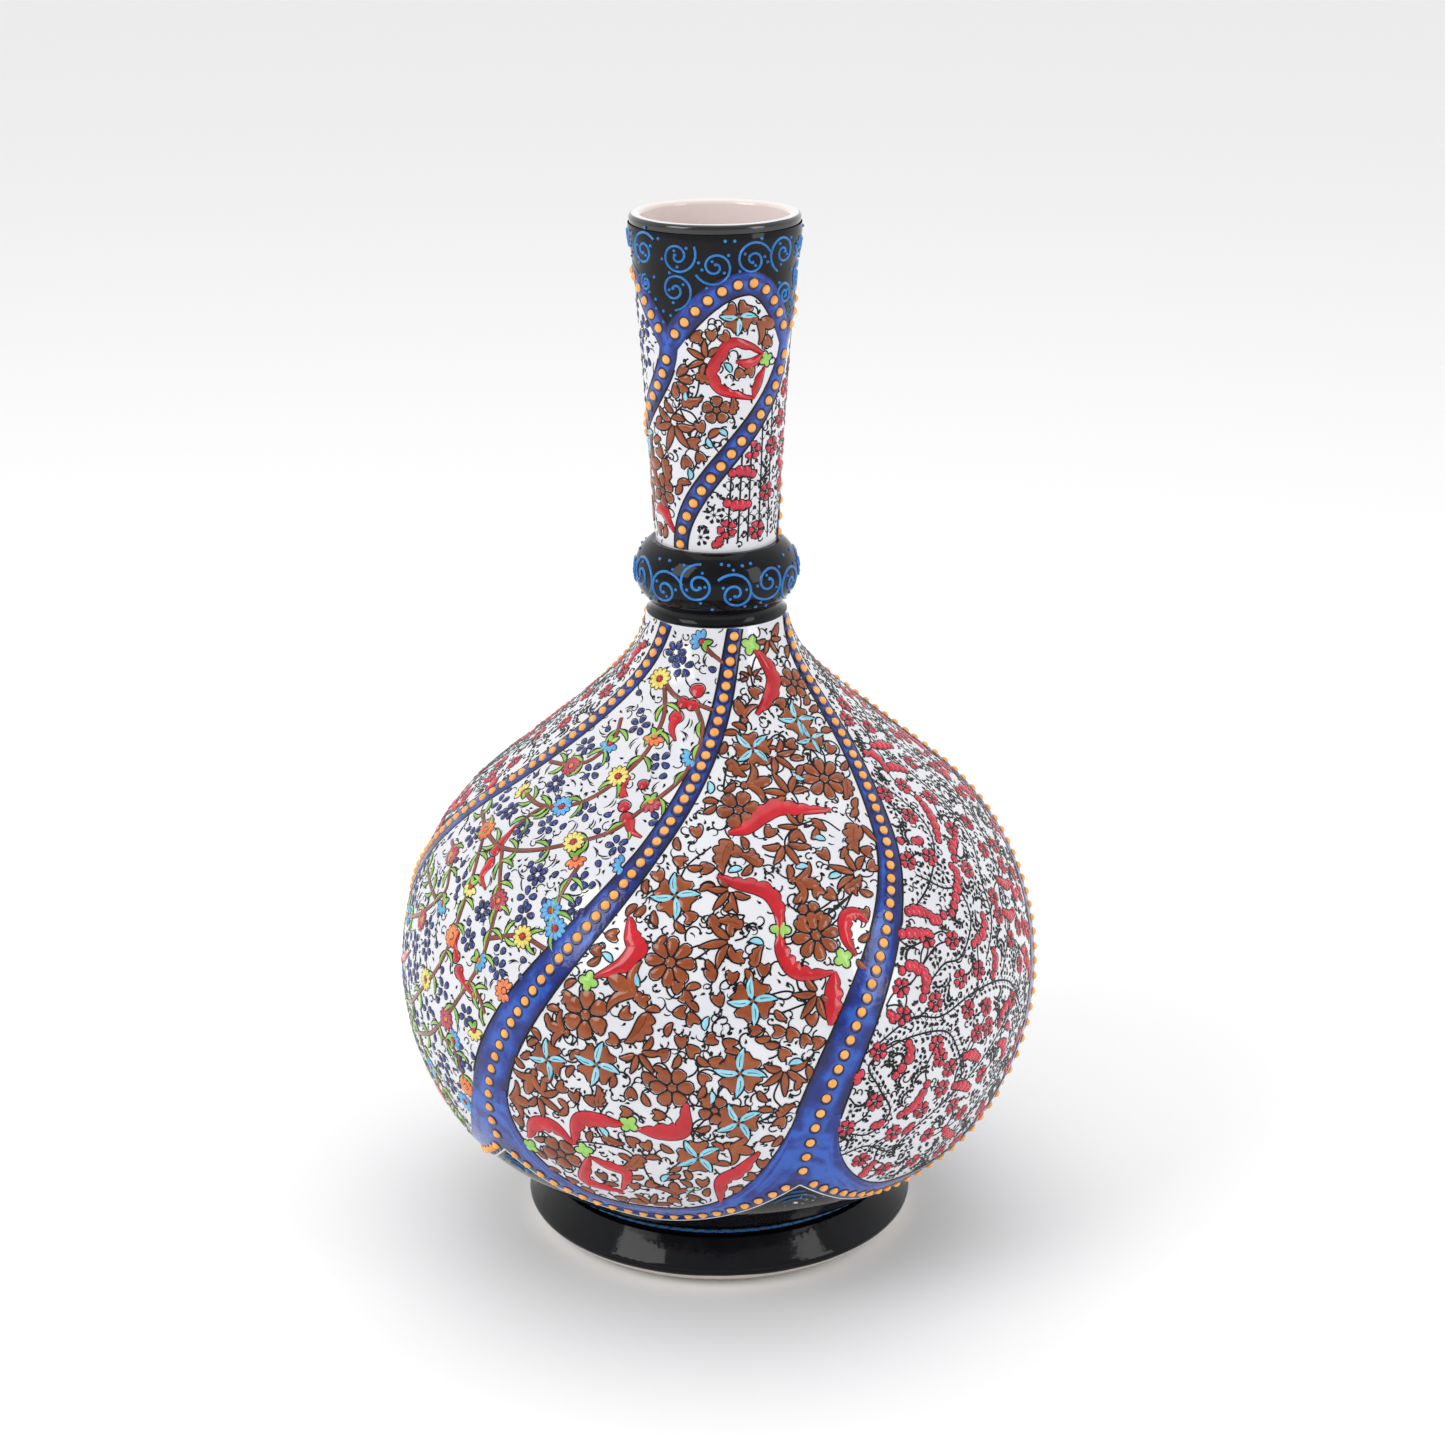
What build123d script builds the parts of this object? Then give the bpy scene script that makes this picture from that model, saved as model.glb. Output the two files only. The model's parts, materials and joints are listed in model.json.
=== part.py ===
"""Swirl-banded bottle vase: five thrown sections luted together with slip, and raised rows of
slip-trailed beads that follow the painted bands.

Axis on +Z, origin at the middle of the foot's resting face, front towards -Y. Millimetres.
Angles round the vase are degrees from the front, growing towards +X.
"""
from build123d import *
from bisect import bisect_left
from math import cos, dist, pi, radians, sin
import os

# --- Driving dimensions -------------------------------------------------------------------
total_height = 400.0

foot_height = 19.0
foot_rest_r = 66.0          # outer edge of the ring that the vase stands on
foot_bore_r = 56.0          # hollow under the floor
foot_widest_r, foot_widest_z = 77.5, 8.4    # corner before it is rounded over
foot_cheek = (72.5, 3.2)    # radius and height on the turned-under side below that corner
foot_corner_rounding = 3.0
foot_top_r = 69.0

belly_arc_r = 97.0          # one round arc makes the whole belly
belly_centre_r, belly_centre_z = 27.0, 108.0
belly_start_z, belly_end_z = 56.0, 184.0    # below and above these it leaves the round
globe_foot_r = 64.0         # where the globe meets the top of the foot
base_swell = (88.3, 36.2)       # radius and height on the tighter base
shoulder_flank = (62.0, 205.0)  # on the leaning shoulder
throat_hollow = (41.2, 224.0)   # where the shoulder hollows into the throat
throat_r, throat_z = 26.7, 250.0

collar_r, collar_z = 31.0, 267.0
collar_cove_r, collar_cove_z = 25.4, 252.5      # thin groove under the bulge
collar_under_r, collar_under_z = 26.2, 255.5    # where the bulge starts
collar_top_r, collar_top_z = 24.6, 278.0

neck_foot_r = 22.9
neck_mid_r, neck_mid_z = 26.5, 338.0
rim_r = 31.6

wall = 5.5                  # thickness of the globe
neck_wall = 4.5             # thickness of the neck and lip
floor_thickness = 6.0
floor_edge_r = 54.0         # where the inside of the globe meets its floor
slip_gap = 0.5              # film of slip in every luted joint
lip_round = 1.6             # softening of the rim's two edges
tongue_height = 5.0         # how far each section's tongue stands into the next one
waist_z = 107.0             # joint at the widest place of the globe

# Painted bands and the beads along them
band_count = 6
band_step = 360 / band_count
first_cusp_angle = -45.0    # where the first band meets the garland round the base
garland_z, garland_drop = 68.0, 24.5
band_turn = 60.0            # how far a band swings round on its way up the globe
arch_cusp_angles = (-38.0, 65.0, 194.0)     # three hand-set arches under the rim
neck_band_feet = (-155.0, -35.0, 85.0)      # where their bands reach the collar
arch_cusp_z, arch_rise = 356.0, 23.0
arch_crown = 0.6            # the crown leans to one side of the middle
bead_r = 1.8
bead_sink = 0.15            # the beads' flat undersides bite this far into the glaze
bead_pitch = 5.9
body_bead_pitch = 4.9       # on the globe's bands they stand closer, except near the garland
body_bead_spread = 2.4


# --- Outlines, as radius and height in the XZ plane ----------------------------------------
def on_belly(z, inset=0.0):
    """Point of the belly arc, or of the parallel arc inside it, at height z."""
    radius = belly_arc_r - inset
    return (belly_centre_r + (radius**2 - (z - belly_centre_z) ** 2) ** 0.5, z)


def globe_line(start, inset=0.0):
    """The globe's outline from its start up to the throat, moved inwards by inset.

    A tighter base swells into the round belly, which turns through a leaning flank into the throat.
    """
    centre = Vector(belly_centre_r, belly_centre_z)
    low, high = Vector(*on_belly(belly_start_z)), Vector(*on_belly(belly_end_z))
    low_lean, high_lean = (low - centre).normalized(), (high - centre).normalized()
    base = Vector(*base_swell) - Vector(0.62, -0.78) * inset
    flank = Vector(*shoulder_flank) - Vector(0.66, 0.75) * inset
    hollow = Vector(*throat_hollow) - Vector(0.74, 0.67) * inset
    low, high = low - low_lean * inset, high - high_lean * inset
    widest = (belly_centre_r + belly_arc_r - inset, belly_centre_z)
    Spline(start, base, low, tangents=[(0.85, 0.52), (-low_lean.Y, low_lean.X)])
    ThreePointArc(low, widest, high)
    end = (throat_r - inset, throat_z)
    Spline(high, flank, hollow, end, tangents=[(-high_lean.Y, high_lean.X), (-0.16, 1)])


def neck_line(inset=0.0):
    """The neck's outline from the collar to the rim, moved inwards by inset."""
    ThreePointArc(
        (neck_foot_r - inset, collar_top_z + slip_gap),
        (neck_mid_r - inset, neck_mid_z),
        (rim_r - inset, total_height),
    )


with BuildLine() as globe_outline:      # drawn flat: X is the radius and Y the height
    globe_line((globe_foot_r, foot_height))
with BuildLine() as neck_outline:
    neck_line()

os.makedirs("parts", exist_ok=True)
floor_under_z = foot_height - floor_thickness + slip_gap
floor_top_z = floor_under_z + floor_thickness
seat_r = foot_bore_r + 6.5      # rebate in the foot that the floor sits in


def keep(builder, name):
    """Label a finished piece and write it."""
    builder.part.label = name
    export_step(builder.part, f"parts/{name}.step")


# --- The thrown sections, from the foot up ---------------------------------------------------
def make_foot_ring():
    seat_z = floor_under_z - slip_gap
    with BuildPart() as foot_ring:
        with BuildSketch(Plane.XZ):
            with BuildLine():
                widest = (foot_widest_r, foot_widest_z)
                ThreePointArc((foot_rest_r, 0), foot_cheek, widest)
                Line(widest, (foot_top_r, foot_height))
                Polyline(
                    (foot_top_r, foot_height),
                    (seat_r, foot_height),
                    (seat_r, seat_z),
                    (foot_bore_r, seat_z),
                    (foot_bore_r, 0),
                    (foot_rest_r, 0),
                )
            make_face()
        revolve(axis=Axis.Z)
        rings = foot_ring.edges().filter_by(GeomType.CIRCLE)
        fillet(rings.sort_by(SortBy.RADIUS)[-1], radius=foot_corner_rounding)
        resting_edges = foot_ring.edges().filter_by(GeomType.CIRCLE).group_by(Axis.Z)[0]
        fillet(resting_edges.sort_by(SortBy.RADIUS)[0], radius=1.5)
    keep(foot_ring, "foot_ring")


def globe_wall_lines():
    """Closed outline of the whole globe's wall and floor."""
    floor_edge = (floor_edge_r, floor_top_z)
    globe_line((globe_foot_r, foot_height))
    Line((throat_r, throat_z), (throat_r - wall, throat_z))
    globe_line(floor_edge, wall)
    Polyline(
        floor_edge,
        (0, floor_top_z),
        (0, floor_under_z),
        (seat_r, floor_under_z),
        (seat_r, foot_height),
        (globe_foot_r, foot_height),
    )


def make_globe():
    """Bowl and dome, with the bowl's tongue inside the dome's rebate."""
    far = belly_centre_r + belly_arc_r + 6      # just past the widest place
    waist_mid_r = on_belly(waist_z)[0] - wall / 2
    tongue_z = waist_z + tongue_height
    step = [(waist_mid_r, waist_z), (waist_mid_r, tongue_z), (0, tongue_z)]
    with BuildPart() as lower_bowl:
        with BuildSketch(Plane.XZ):
            with BuildLine():
                globe_wall_lines()
            make_face()
            with BuildLine():
                Polyline((0, 0), (far, 0), (far, waist_z), *step, close=True)
            make_face(mode=Mode.INTERSECT)
        revolve(axis=Axis.Z)
    keep(lower_bowl, "lower_bowl")

    throat_mid_r = throat_r - wall / 2
    seat_z = waist_z + slip_gap
    with BuildPart() as upper_dome:
        with BuildSketch(Plane.XZ):
            with BuildLine():
                globe_wall_lines()
            make_face()
            with BuildLine():
                Polyline(
                    (0, tongue_z),
                    (waist_mid_r, tongue_z),
                    (waist_mid_r, seat_z),
                    (far, seat_z),
                    (far, throat_z),
                    (0, throat_z),
                    close=True,
                )
            make_face(mode=Mode.INTERSECT)
        revolve(axis=Axis.Z)
        with BuildSketch(Plane.XY.offset(throat_z)):
            Circle(throat_mid_r)
            Circle(throat_r - wall, mode=Mode.SUBTRACT)
        extrude(amount=tongue_height)
    keep(upper_dome, "upper_dome")


def make_neck_collar():
    """Bulged ring that sits on the dome's tongue and carries a tongue of its own."""
    bottom_z = throat_z + slip_gap
    socket_r, socket_z = throat_r - wall / 2, throat_z + tongue_height
    tongue_r, bore_r = neck_foot_r - neck_wall / 2, neck_foot_r - neck_wall
    with BuildPart() as neck_collar:
        with BuildSketch(Plane.XZ):
            with BuildLine():
                bulge_foot, bulge_top = (collar_under_r, collar_under_z), (collar_top_r, collar_top_z)
                ThreePointArc((throat_r, bottom_z), (collar_cove_r, collar_cove_z), bulge_foot)
                ThreePointArc(bulge_foot, (collar_r, collar_z), bulge_top)
                Polyline(
                    bulge_top,
                    (tongue_r, collar_top_z),
                    (tongue_r, collar_top_z + tongue_height),
                    (bore_r, collar_top_z + tongue_height),
                    (bore_r, collar_top_z),
                    (throat_r - wall, socket_z),
                    (socket_r, socket_z),
                    (socket_r, bottom_z),
                    (throat_r, bottom_z),
                )
            make_face()
        revolve(axis=Axis.Z)
    keep(neck_collar, "neck_collar")


def make_neck_tube():
    """Flared neck with a rebate at its foot and a softened lip."""
    foot_z = collar_top_z + slip_gap
    with BuildPart() as neck_tube:
        with BuildSketch(Plane.XZ):
            with BuildLine():
                neck_line()
                Line((rim_r, total_height), (rim_r - neck_wall, total_height))
                neck_line(neck_wall)
                Line((neck_foot_r - neck_wall, foot_z), (neck_foot_r, foot_z))
            make_face()
        revolve(axis=Axis.Z)
        lip = neck_tube.edges().filter_by(GeomType.CIRCLE).group_by(Axis.Z)[-1]
        fillet(lip, radius=lip_round)
        with BuildSketch(Plane.XY.offset(foot_z)):
            Circle(neck_foot_r - neck_wall / 2)
        extrude(amount=tongue_height - slip_gap, mode=Mode.SUBTRACT)
    keep(neck_tube, "neck_tube")


def make_slip_rings():
    """Films of slip that fill the four luted joints."""
    waist_r = on_belly(waist_z)[0]
    rings = {
        "foot_slip": (foot_bore_r + 6.5, foot_bore_r, floor_under_z - slip_gap),
        "waist_slip": (waist_r, waist_r - wall / 2, waist_z),
        "throat_slip": (throat_r, throat_r - wall / 2, throat_z),
        "neck_slip": (neck_foot_r, neck_foot_r - neck_wall / 2, collar_top_z),
    }
    for name, (outer_r, inner_r, z) in rings.items():
        with BuildPart() as slip:
            with BuildSketch(Plane.XY.offset(z)):
                Circle(outer_r)
                Circle(inner_r, mode=Mode.SUBTRACT)
            extrude(amount=slip_gap)
        keep(slip, name)


# --- Bead rows --------------------------------------------------------------------------------
def wall_table(outline, steps=300):
    """Heights, radii and outward leans along an outline, bottom to top."""
    wire = outline.wires()[0]
    marks = [(wire.position_at(i / steps), wire.tangent_at(i / steps)) for i in range(steps + 1)]
    marks = marks if marks[0][0].Y < marks[-1][0].Y else marks[::-1]
    upward = 1 if marks[0][1].Y > 0 else -1
    return [(p.Y, p.X, upward * t.Y, -upward * t.X) for p, t in marks]


def bead_plane(table, angle, z):
    """Plane on the wall at that angle and height, facing out of it and sunk by the bite."""
    place = min(max(bisect_left(table, (z,)), 1), len(table) - 1)
    (z0, r0, out0, up0), (z1, r1, out1, up1) = table[place - 1], table[place]
    share = (z - z0) / (z1 - z0)
    radius, out, up = (a + share * (b - a) for a, b in ((r0, r1), (out0, out1), (up0, up1)))
    turn = radians(angle)
    facing = Vector(out * sin(turn), -out * cos(turn), up).normalized()
    foot = Vector(radius * sin(turn), -radius * cos(turn), z) - facing * bead_sink
    return Plane(origin=foot, x_dir=(cos(turn), sin(turn), 0), z_dir=facing)


def make_bead_row(name, table, path, pitch=bead_pitch, spread=0.0, samples=600):
    """Domed beads along a path of angle and height for 0 to 1, wider spread towards its start."""
    planes = [bead_plane(table, *path(i / samples)) for i in range(samples + 1)]
    gaps = [dist(tuple(a.origin), tuple(b.origin)) for a, b in zip(planes, planes[1:])]
    beats = [gap / (pitch + spread * (1 - i / samples) ** 4) for i, gap in enumerate(gaps)]
    beat = sum(beats) / round(sum(beats))
    kept, walked = [planes[0]], 0.0
    for step, plane in zip(beats, planes[1:]):
        walked += step
        if walked >= beat * (len(kept) - 1e-6):
            kept.append(plane)
    with BuildPart() as row:
        with Locations(*kept):
            Sphere(bead_r, arc_size1=0, align=(Align.CENTER, Align.CENTER, Align.MIN))
    keep(row, name)
    return len(kept)


def globe_band(cusp_angle):
    """Swings slowly off the garland, then faster towards the throat."""

    def path(share):
        z = garland_z + 3 + (throat_z - 6 - garland_z) * share
        rise = (z - garland_z) / (throat_z - garland_z)
        return cusp_angle + band_turn * rise**2 * (1.5 - 0.5 * rise), z

    return path


def garland(cusp_angle):
    """One round scallop of the garland, hanging between two cusps."""

    def path(share):
        along = 0.045 + 0.91 * share
        return cusp_angle + band_step * along, garland_z - garland_drop * sin(pi * along) ** 0.8

    return path


def neck_band(cusp_angle, foot_angle):
    """Eases away from the cusp and lands steeply on the collar."""

    def path(share):
        down = 0.075 + 0.895 * share
        swing = down**2 * (3 - 2 * down)
        drop = arch_cusp_z - collar_top_z
        return cusp_angle + (foot_angle - cusp_angle) * swing, arch_cusp_z - drop * down

    return path


def neck_arch(left_angle, right_angle):
    """Arch between two cusps, its crown leaning to the right."""

    def path(share):
        along = 0.07 + 0.87 * share
        side = along / arch_crown if along < arch_crown else (1 - along) / (1 - arch_crown)
        angle = left_angle + (right_angle - left_angle) * along
        return angle, arch_cusp_z + arch_rise * sin(pi / 2 * side)

    return path


def make_beads():
    globe_table, neck_table = wall_table(globe_outline), wall_table(neck_outline)
    total = 0
    for number in range(band_count):
        cusp = first_cusp_angle + band_step * number
        band = globe_band(cusp)
        name = f"body_beads_{number + 1}"
        total += make_bead_row(name, globe_table, band, body_bead_pitch, body_bead_spread)
        total += make_bead_row(f"garland_beads_{number + 1}", globe_table, garland(cusp))
    cusps = (*arch_cusp_angles, arch_cusp_angles[0] + 360)
    for number, foot_angle in enumerate(neck_band_feet):
        band = neck_band(cusps[number], foot_angle)
        arch = neck_arch(cusps[number], cusps[number + 1])
        total += make_bead_row(f"neck_beads_{number + 1}", neck_table, band)
        total += make_bead_row(f"arch_beads_{number + 1}", neck_table, arch)
    print("beads:", total)


make_foot_ring()
make_globe()
make_neck_collar()
make_neck_tube()
make_slip_rings()
make_beads()
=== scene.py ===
"""Looks of the swirl-banded bottle vase: glazes, painted bands, raised scrolls and flower panels.

Decoration is drawn on the wall in millimetres: angle round the vase and length up its outline.
Angles are degrees from the front, growing towards +X, as in the part's own frame.
"""

import json
import math
import random

import bpy
import numpy as np
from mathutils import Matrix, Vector
from mathutils.bvhtree import BVHTree

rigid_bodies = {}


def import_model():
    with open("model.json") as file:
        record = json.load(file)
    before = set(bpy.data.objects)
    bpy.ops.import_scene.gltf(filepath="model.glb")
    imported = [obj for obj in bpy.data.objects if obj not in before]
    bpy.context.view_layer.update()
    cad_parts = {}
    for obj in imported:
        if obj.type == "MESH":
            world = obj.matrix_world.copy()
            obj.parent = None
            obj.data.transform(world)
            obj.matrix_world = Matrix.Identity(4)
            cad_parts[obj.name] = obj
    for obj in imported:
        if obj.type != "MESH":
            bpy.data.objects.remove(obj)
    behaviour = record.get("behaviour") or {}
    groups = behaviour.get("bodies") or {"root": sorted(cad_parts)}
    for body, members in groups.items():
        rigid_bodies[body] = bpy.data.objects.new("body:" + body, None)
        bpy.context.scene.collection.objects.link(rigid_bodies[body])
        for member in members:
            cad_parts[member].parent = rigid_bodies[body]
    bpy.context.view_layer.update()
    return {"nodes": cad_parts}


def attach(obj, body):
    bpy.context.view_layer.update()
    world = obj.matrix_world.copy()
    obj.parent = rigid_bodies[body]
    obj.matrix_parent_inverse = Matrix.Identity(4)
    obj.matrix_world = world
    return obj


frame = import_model()
for loose in list(bpy.data.objects):
    if loose.name in ("Cube", "Light", "Camera"):
        bpy.data.objects.remove(loose)
MM = 0.001
rng = random.Random(7)

# --- Layout of the painted bands, as in the part ---------------------------------------------
BANDS = 6
STEP = 360 / BANDS
FIRST_CUSP = -45.0
FOOT_TOP_Z, THROAT_Z, COLLAR_TOP_Z = 19.0, 250.0, 278.5
GARLAND_Z, GARLAND_DROP = 68.0, 24.5
BAND_TURN = 60.0
ARCH_CUSPS = (-38.0, 65.0, 194.0)
NECK_FEET = (-155.0, -35.0, 85.0)
ARCH_Z, ARCH_RISE, ARCH_CROWN = 356.0, 23.0, 0.6
LIP_Z = 396.6
BEAD_PITCH, BODY_BEAD_PITCH, BODY_BEAD_SPREAD = 5.9, 4.9, 2.4
LINE = 0.28         # half width of a drawn black line
SKIN, KNOT_GAP = 0.15, 1.0      # how near a ring lies to the outside, and how far apart knots stand


def walk(x, y):
    """How far a line has run at each of its points."""
    return np.concatenate([[0], np.cumsum(np.hypot(np.diff(x), np.diff(y)))])


# --- The wall, read from the frame -------------------------------------------------------------
class Wall:
    """Outer outline of stacked nodes above a height, and points on or just over it."""

    def __init__(self, *nodes, above=0.0, step=0.25):
        points = []
        for name in nodes:
            mesh = frame["nodes"][name].data
            faces = [p.vertices for p in mesh.polygons]
            tree = BVHTree.FromPolygons([v.co for v in mesh.vertices], faces)
            rings = {}
            for v in mesh.vertices:
                height, radius = round(v.co.z / MM, 3), math.hypot(v.co.x, v.co.y) / MM
                rings[height] = max(radius, rings.get(height, 0.0))
            for height, radius in rings.items():
                start = Vector((1.0, 1e-5, height * MM + 2e-6))
                hit = tree.ray_cast(start, Vector((-1, 0, 0)))[0]
                if hit is not None and radius > math.hypot(hit.x, hit.y) / MM - SKIN and height >= above:
                    points.append((height, radius))
        points = sorted(points)
        kept = points[:1]
        for point in points[1:]:
            if math.dist(point, kept[-1]) > KNOT_GAP:
                kept.append(point)
        z, r = np.array(kept).T
        along = walk(z, r)
        fine = np.arange(0, along[-1], step)
        z, r = self.smooth(fine, along, z), self.smooth(fine, along, r)
        self.s, self.z, self.r = walk(z, r), z, r
        slope_z, slope_r = np.gradient(z), np.gradient(r)
        size = np.hypot(slope_z, slope_r)
        self.out, self.up = slope_z / size, -slope_r / size

    @staticmethod
    def smooth(x, knots, values):
        """Cubic Hermite through the knots, with slopes from their neighbours."""
        slopes = np.gradient(values, knots)
        i = np.clip(np.searchsorted(knots, x) - 1, 0, len(knots) - 2)
        gap = knots[i + 1] - knots[i]
        t = (x - knots[i]) / gap
        first = (2 * t**3 - 3 * t**2 + 1) * values[i] + (t**3 - 2 * t**2 + t) * gap * slopes[i]
        return first + (3 * t**2 - 2 * t**3) * values[i + 1] + (t**3 - t**2) * gap * slopes[i + 1]

    def radius(self, s):
        return np.interp(s, self.s, self.r)

    def height(self, s):
        return np.interp(s, self.s, self.z)

    def length(self, z):
        return np.interp(z, self.z, self.s)

    def at(self, angle, s, lift=0.0):
        """Points at that angle and length up the wall, lifted along its normal, in metres."""
        angle, s, lift = np.broadcast_arrays(np.radians(angle), s, lift)
        r = self.radius(s) + lift * np.interp(s, self.s, self.out)
        z = self.height(s) + lift * np.interp(s, self.s, self.up)
        return np.stack([r * np.sin(angle), -r * np.cos(angle), z], axis=-1) * MM


globe = Wall("lower_bowl", "upper_dome", above=FOOT_TOP_Z)
neck = Wall("neck_tube")
collar = Wall("neck_collar")


# --- Glazes ------------------------------------------------------------------------------------
def add_node(tree, kind, *values, **settings):
    """A new shader node; its inputs in turn take a value, or a socket to be joined to."""
    node = tree.nodes.new("ShaderNode" + kind)
    for name, value in settings.items():
        setattr(node, name, value)
    for socket, value in zip(node.inputs, values):
        if isinstance(value, bpy.types.NodeSocket):
            tree.links.new(value, socket)
        else:
            socket.default_value = value
    return node


def add_noise(tree, place, scale, detail=2.0, rough=0.5):
    """Noise over a place, from nought to one."""
    noise = add_node(tree, "TexNoise", place)
    for name, value in (("Scale", scale), ("Detail", detail), ("Roughness", rough)):
        noise.inputs[name].default_value = value
    return noise.outputs["Fac"]


LOW_STOP, HIGH_STOP = 0.32, 0.68        # the noise between these runs through all of the tints


def glaze(name, tints, grain=150.0, rough=0.16, bump=0.06, coat=0.25, gloss=0.35):
    """Glossy glaze whose colour wanders between its tints, with a faintly uneven surface."""
    material = bpy.data.materials.new(name)
    material.use_nodes = True
    tree = material.node_tree
    shader = tree.nodes["Principled BSDF"]
    for socket, value in (("Roughness", rough), ("Specular IOR Level", gloss), ("Coat Weight", coat),
                          ("Coat Roughness", 0.04)):
        shader.inputs[socket].default_value = value
    place = add_node(tree, "TexCoord").outputs["Object"]
    ramp = add_node(tree, "ValToRGB", add_noise(tree, place, grain, 5.0, 0.6), name="tints")
    stops = ramp.color_ramp.elements
    for number, stop, tint in ((0, LOW_STOP, tints[0]), (1, HIGH_STOP, tints[-1])):
        stops[number].position = stop
        stops[number].color = (*tint, 1)
    for number, tint in enumerate(tints[1:-1]):
        share = (number + 1) / (len(tints) - 1)
        stops.new(LOW_STOP + (HIGH_STOP - LOW_STOP) * share).color = (*tint, 1)
    relief = add_node(tree, "Bump")
    relief.inputs["Strength"].default_value = bump
    relief.inputs["Distance"].default_value = 0.001
    tree.links.new(add_noise(tree, place, 220.0), relief.inputs["Height"])
    tree.links.new(relief.outputs["Normal"], shader.inputs["Normal"])
    tree.links.new(ramp.outputs["Color"], shader.inputs["Base Color"])
    return material


def add_brush_marks(material):
    """Adds the tone that painted bands carry to a glaze's wandering colour."""
    tree = material.node_tree
    tints = tree.nodes["tints"].inputs[0]
    marks = add_node(tree, "Attribute", attribute_name="tone").outputs["Fac"]
    both = add_node(tree, "Math", tints.links[0].from_socket, 0.55, marks, operation="MULTIPLY_ADD")
    tree.links.new(both.outputs["Value"], tints)


def tint_where(material, mask, tint):
    """Lets a second colour show where the mask says, over a glaze's own tints."""
    tree = material.node_tree
    mix = add_node(tree, "Mix", data_type="RGBA")
    mix.inputs["B"].default_value = (*tint, 1)
    base = tree.nodes["Principled BSDF"].inputs["Base Color"]
    tree.links.new(mask(tree), mix.inputs["Factor"])
    tree.links.new(base.links[0].from_socket, mix.inputs["A"])
    tree.links.new(mix.outputs["Result"], base)


def maths(tree, operation, *values):
    """What a Math node makes of its values."""
    return add_node(tree, "Math", *values, operation=operation).outputs["Value"]


def off_axis(tree, place):
    """The part of a place that leads straight away from the vase's axis."""
    return add_node(tree, "VectorMath", place, (1, 1, 0), operation="MULTIPLY").outputs["Vector"]


def facing_in(tree):
    """One where the surface faces the vase's axis, as the inside of the neck does."""
    place = add_node(tree, "TexCoord").outputs
    dot = add_node(tree, "VectorMath", off_axis(tree, place["Object"]), place["Normal"],
                   operation="DOT_PRODUCT")
    return maths(tree, "LESS_THAN", dot.outputs["Value"], 0.0)


LIP_START, LIP_EDGE, LIP_UNEVEN = 0.394, 0.0298, 0.0012
CLAY_TOP, CLAY_UNEVEN = 0.0056, 0.0016


def outside_lip(tree):
    """One over the outer half of the rounded lip, up to a slightly uneven line."""
    place = add_node(tree, "TexCoord").outputs["Object"]
    reach = add_node(tree, "VectorMath", off_axis(tree, place), operation="LENGTH").outputs["Value"]
    edge = maths(tree, "MULTIPLY_ADD", add_noise(tree, place, 60.0), LIP_UNEVEN, LIP_EDGE)
    height = add_node(tree, "SeparateXYZ", place).outputs["Z"]
    wide = maths(tree, "GREATER_THAN", reach, edge)
    return maths(tree, "MULTIPLY", wide, maths(tree, "GREATER_THAN", height, LIP_START))


def near_ground(tree):
    """One below a slightly ragged line under the foot's corner, where it was wiped bare."""
    place = add_node(tree, "TexCoord").outputs["Object"]
    edge = maths(tree, "MULTIPLY_ADD", add_noise(tree, place, 45.0), CLAY_UNEVEN, CLAY_TOP)
    return maths(tree, "LESS_THAN", add_node(tree, "SeparateXYZ", place).outputs["Z"], edge)


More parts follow.
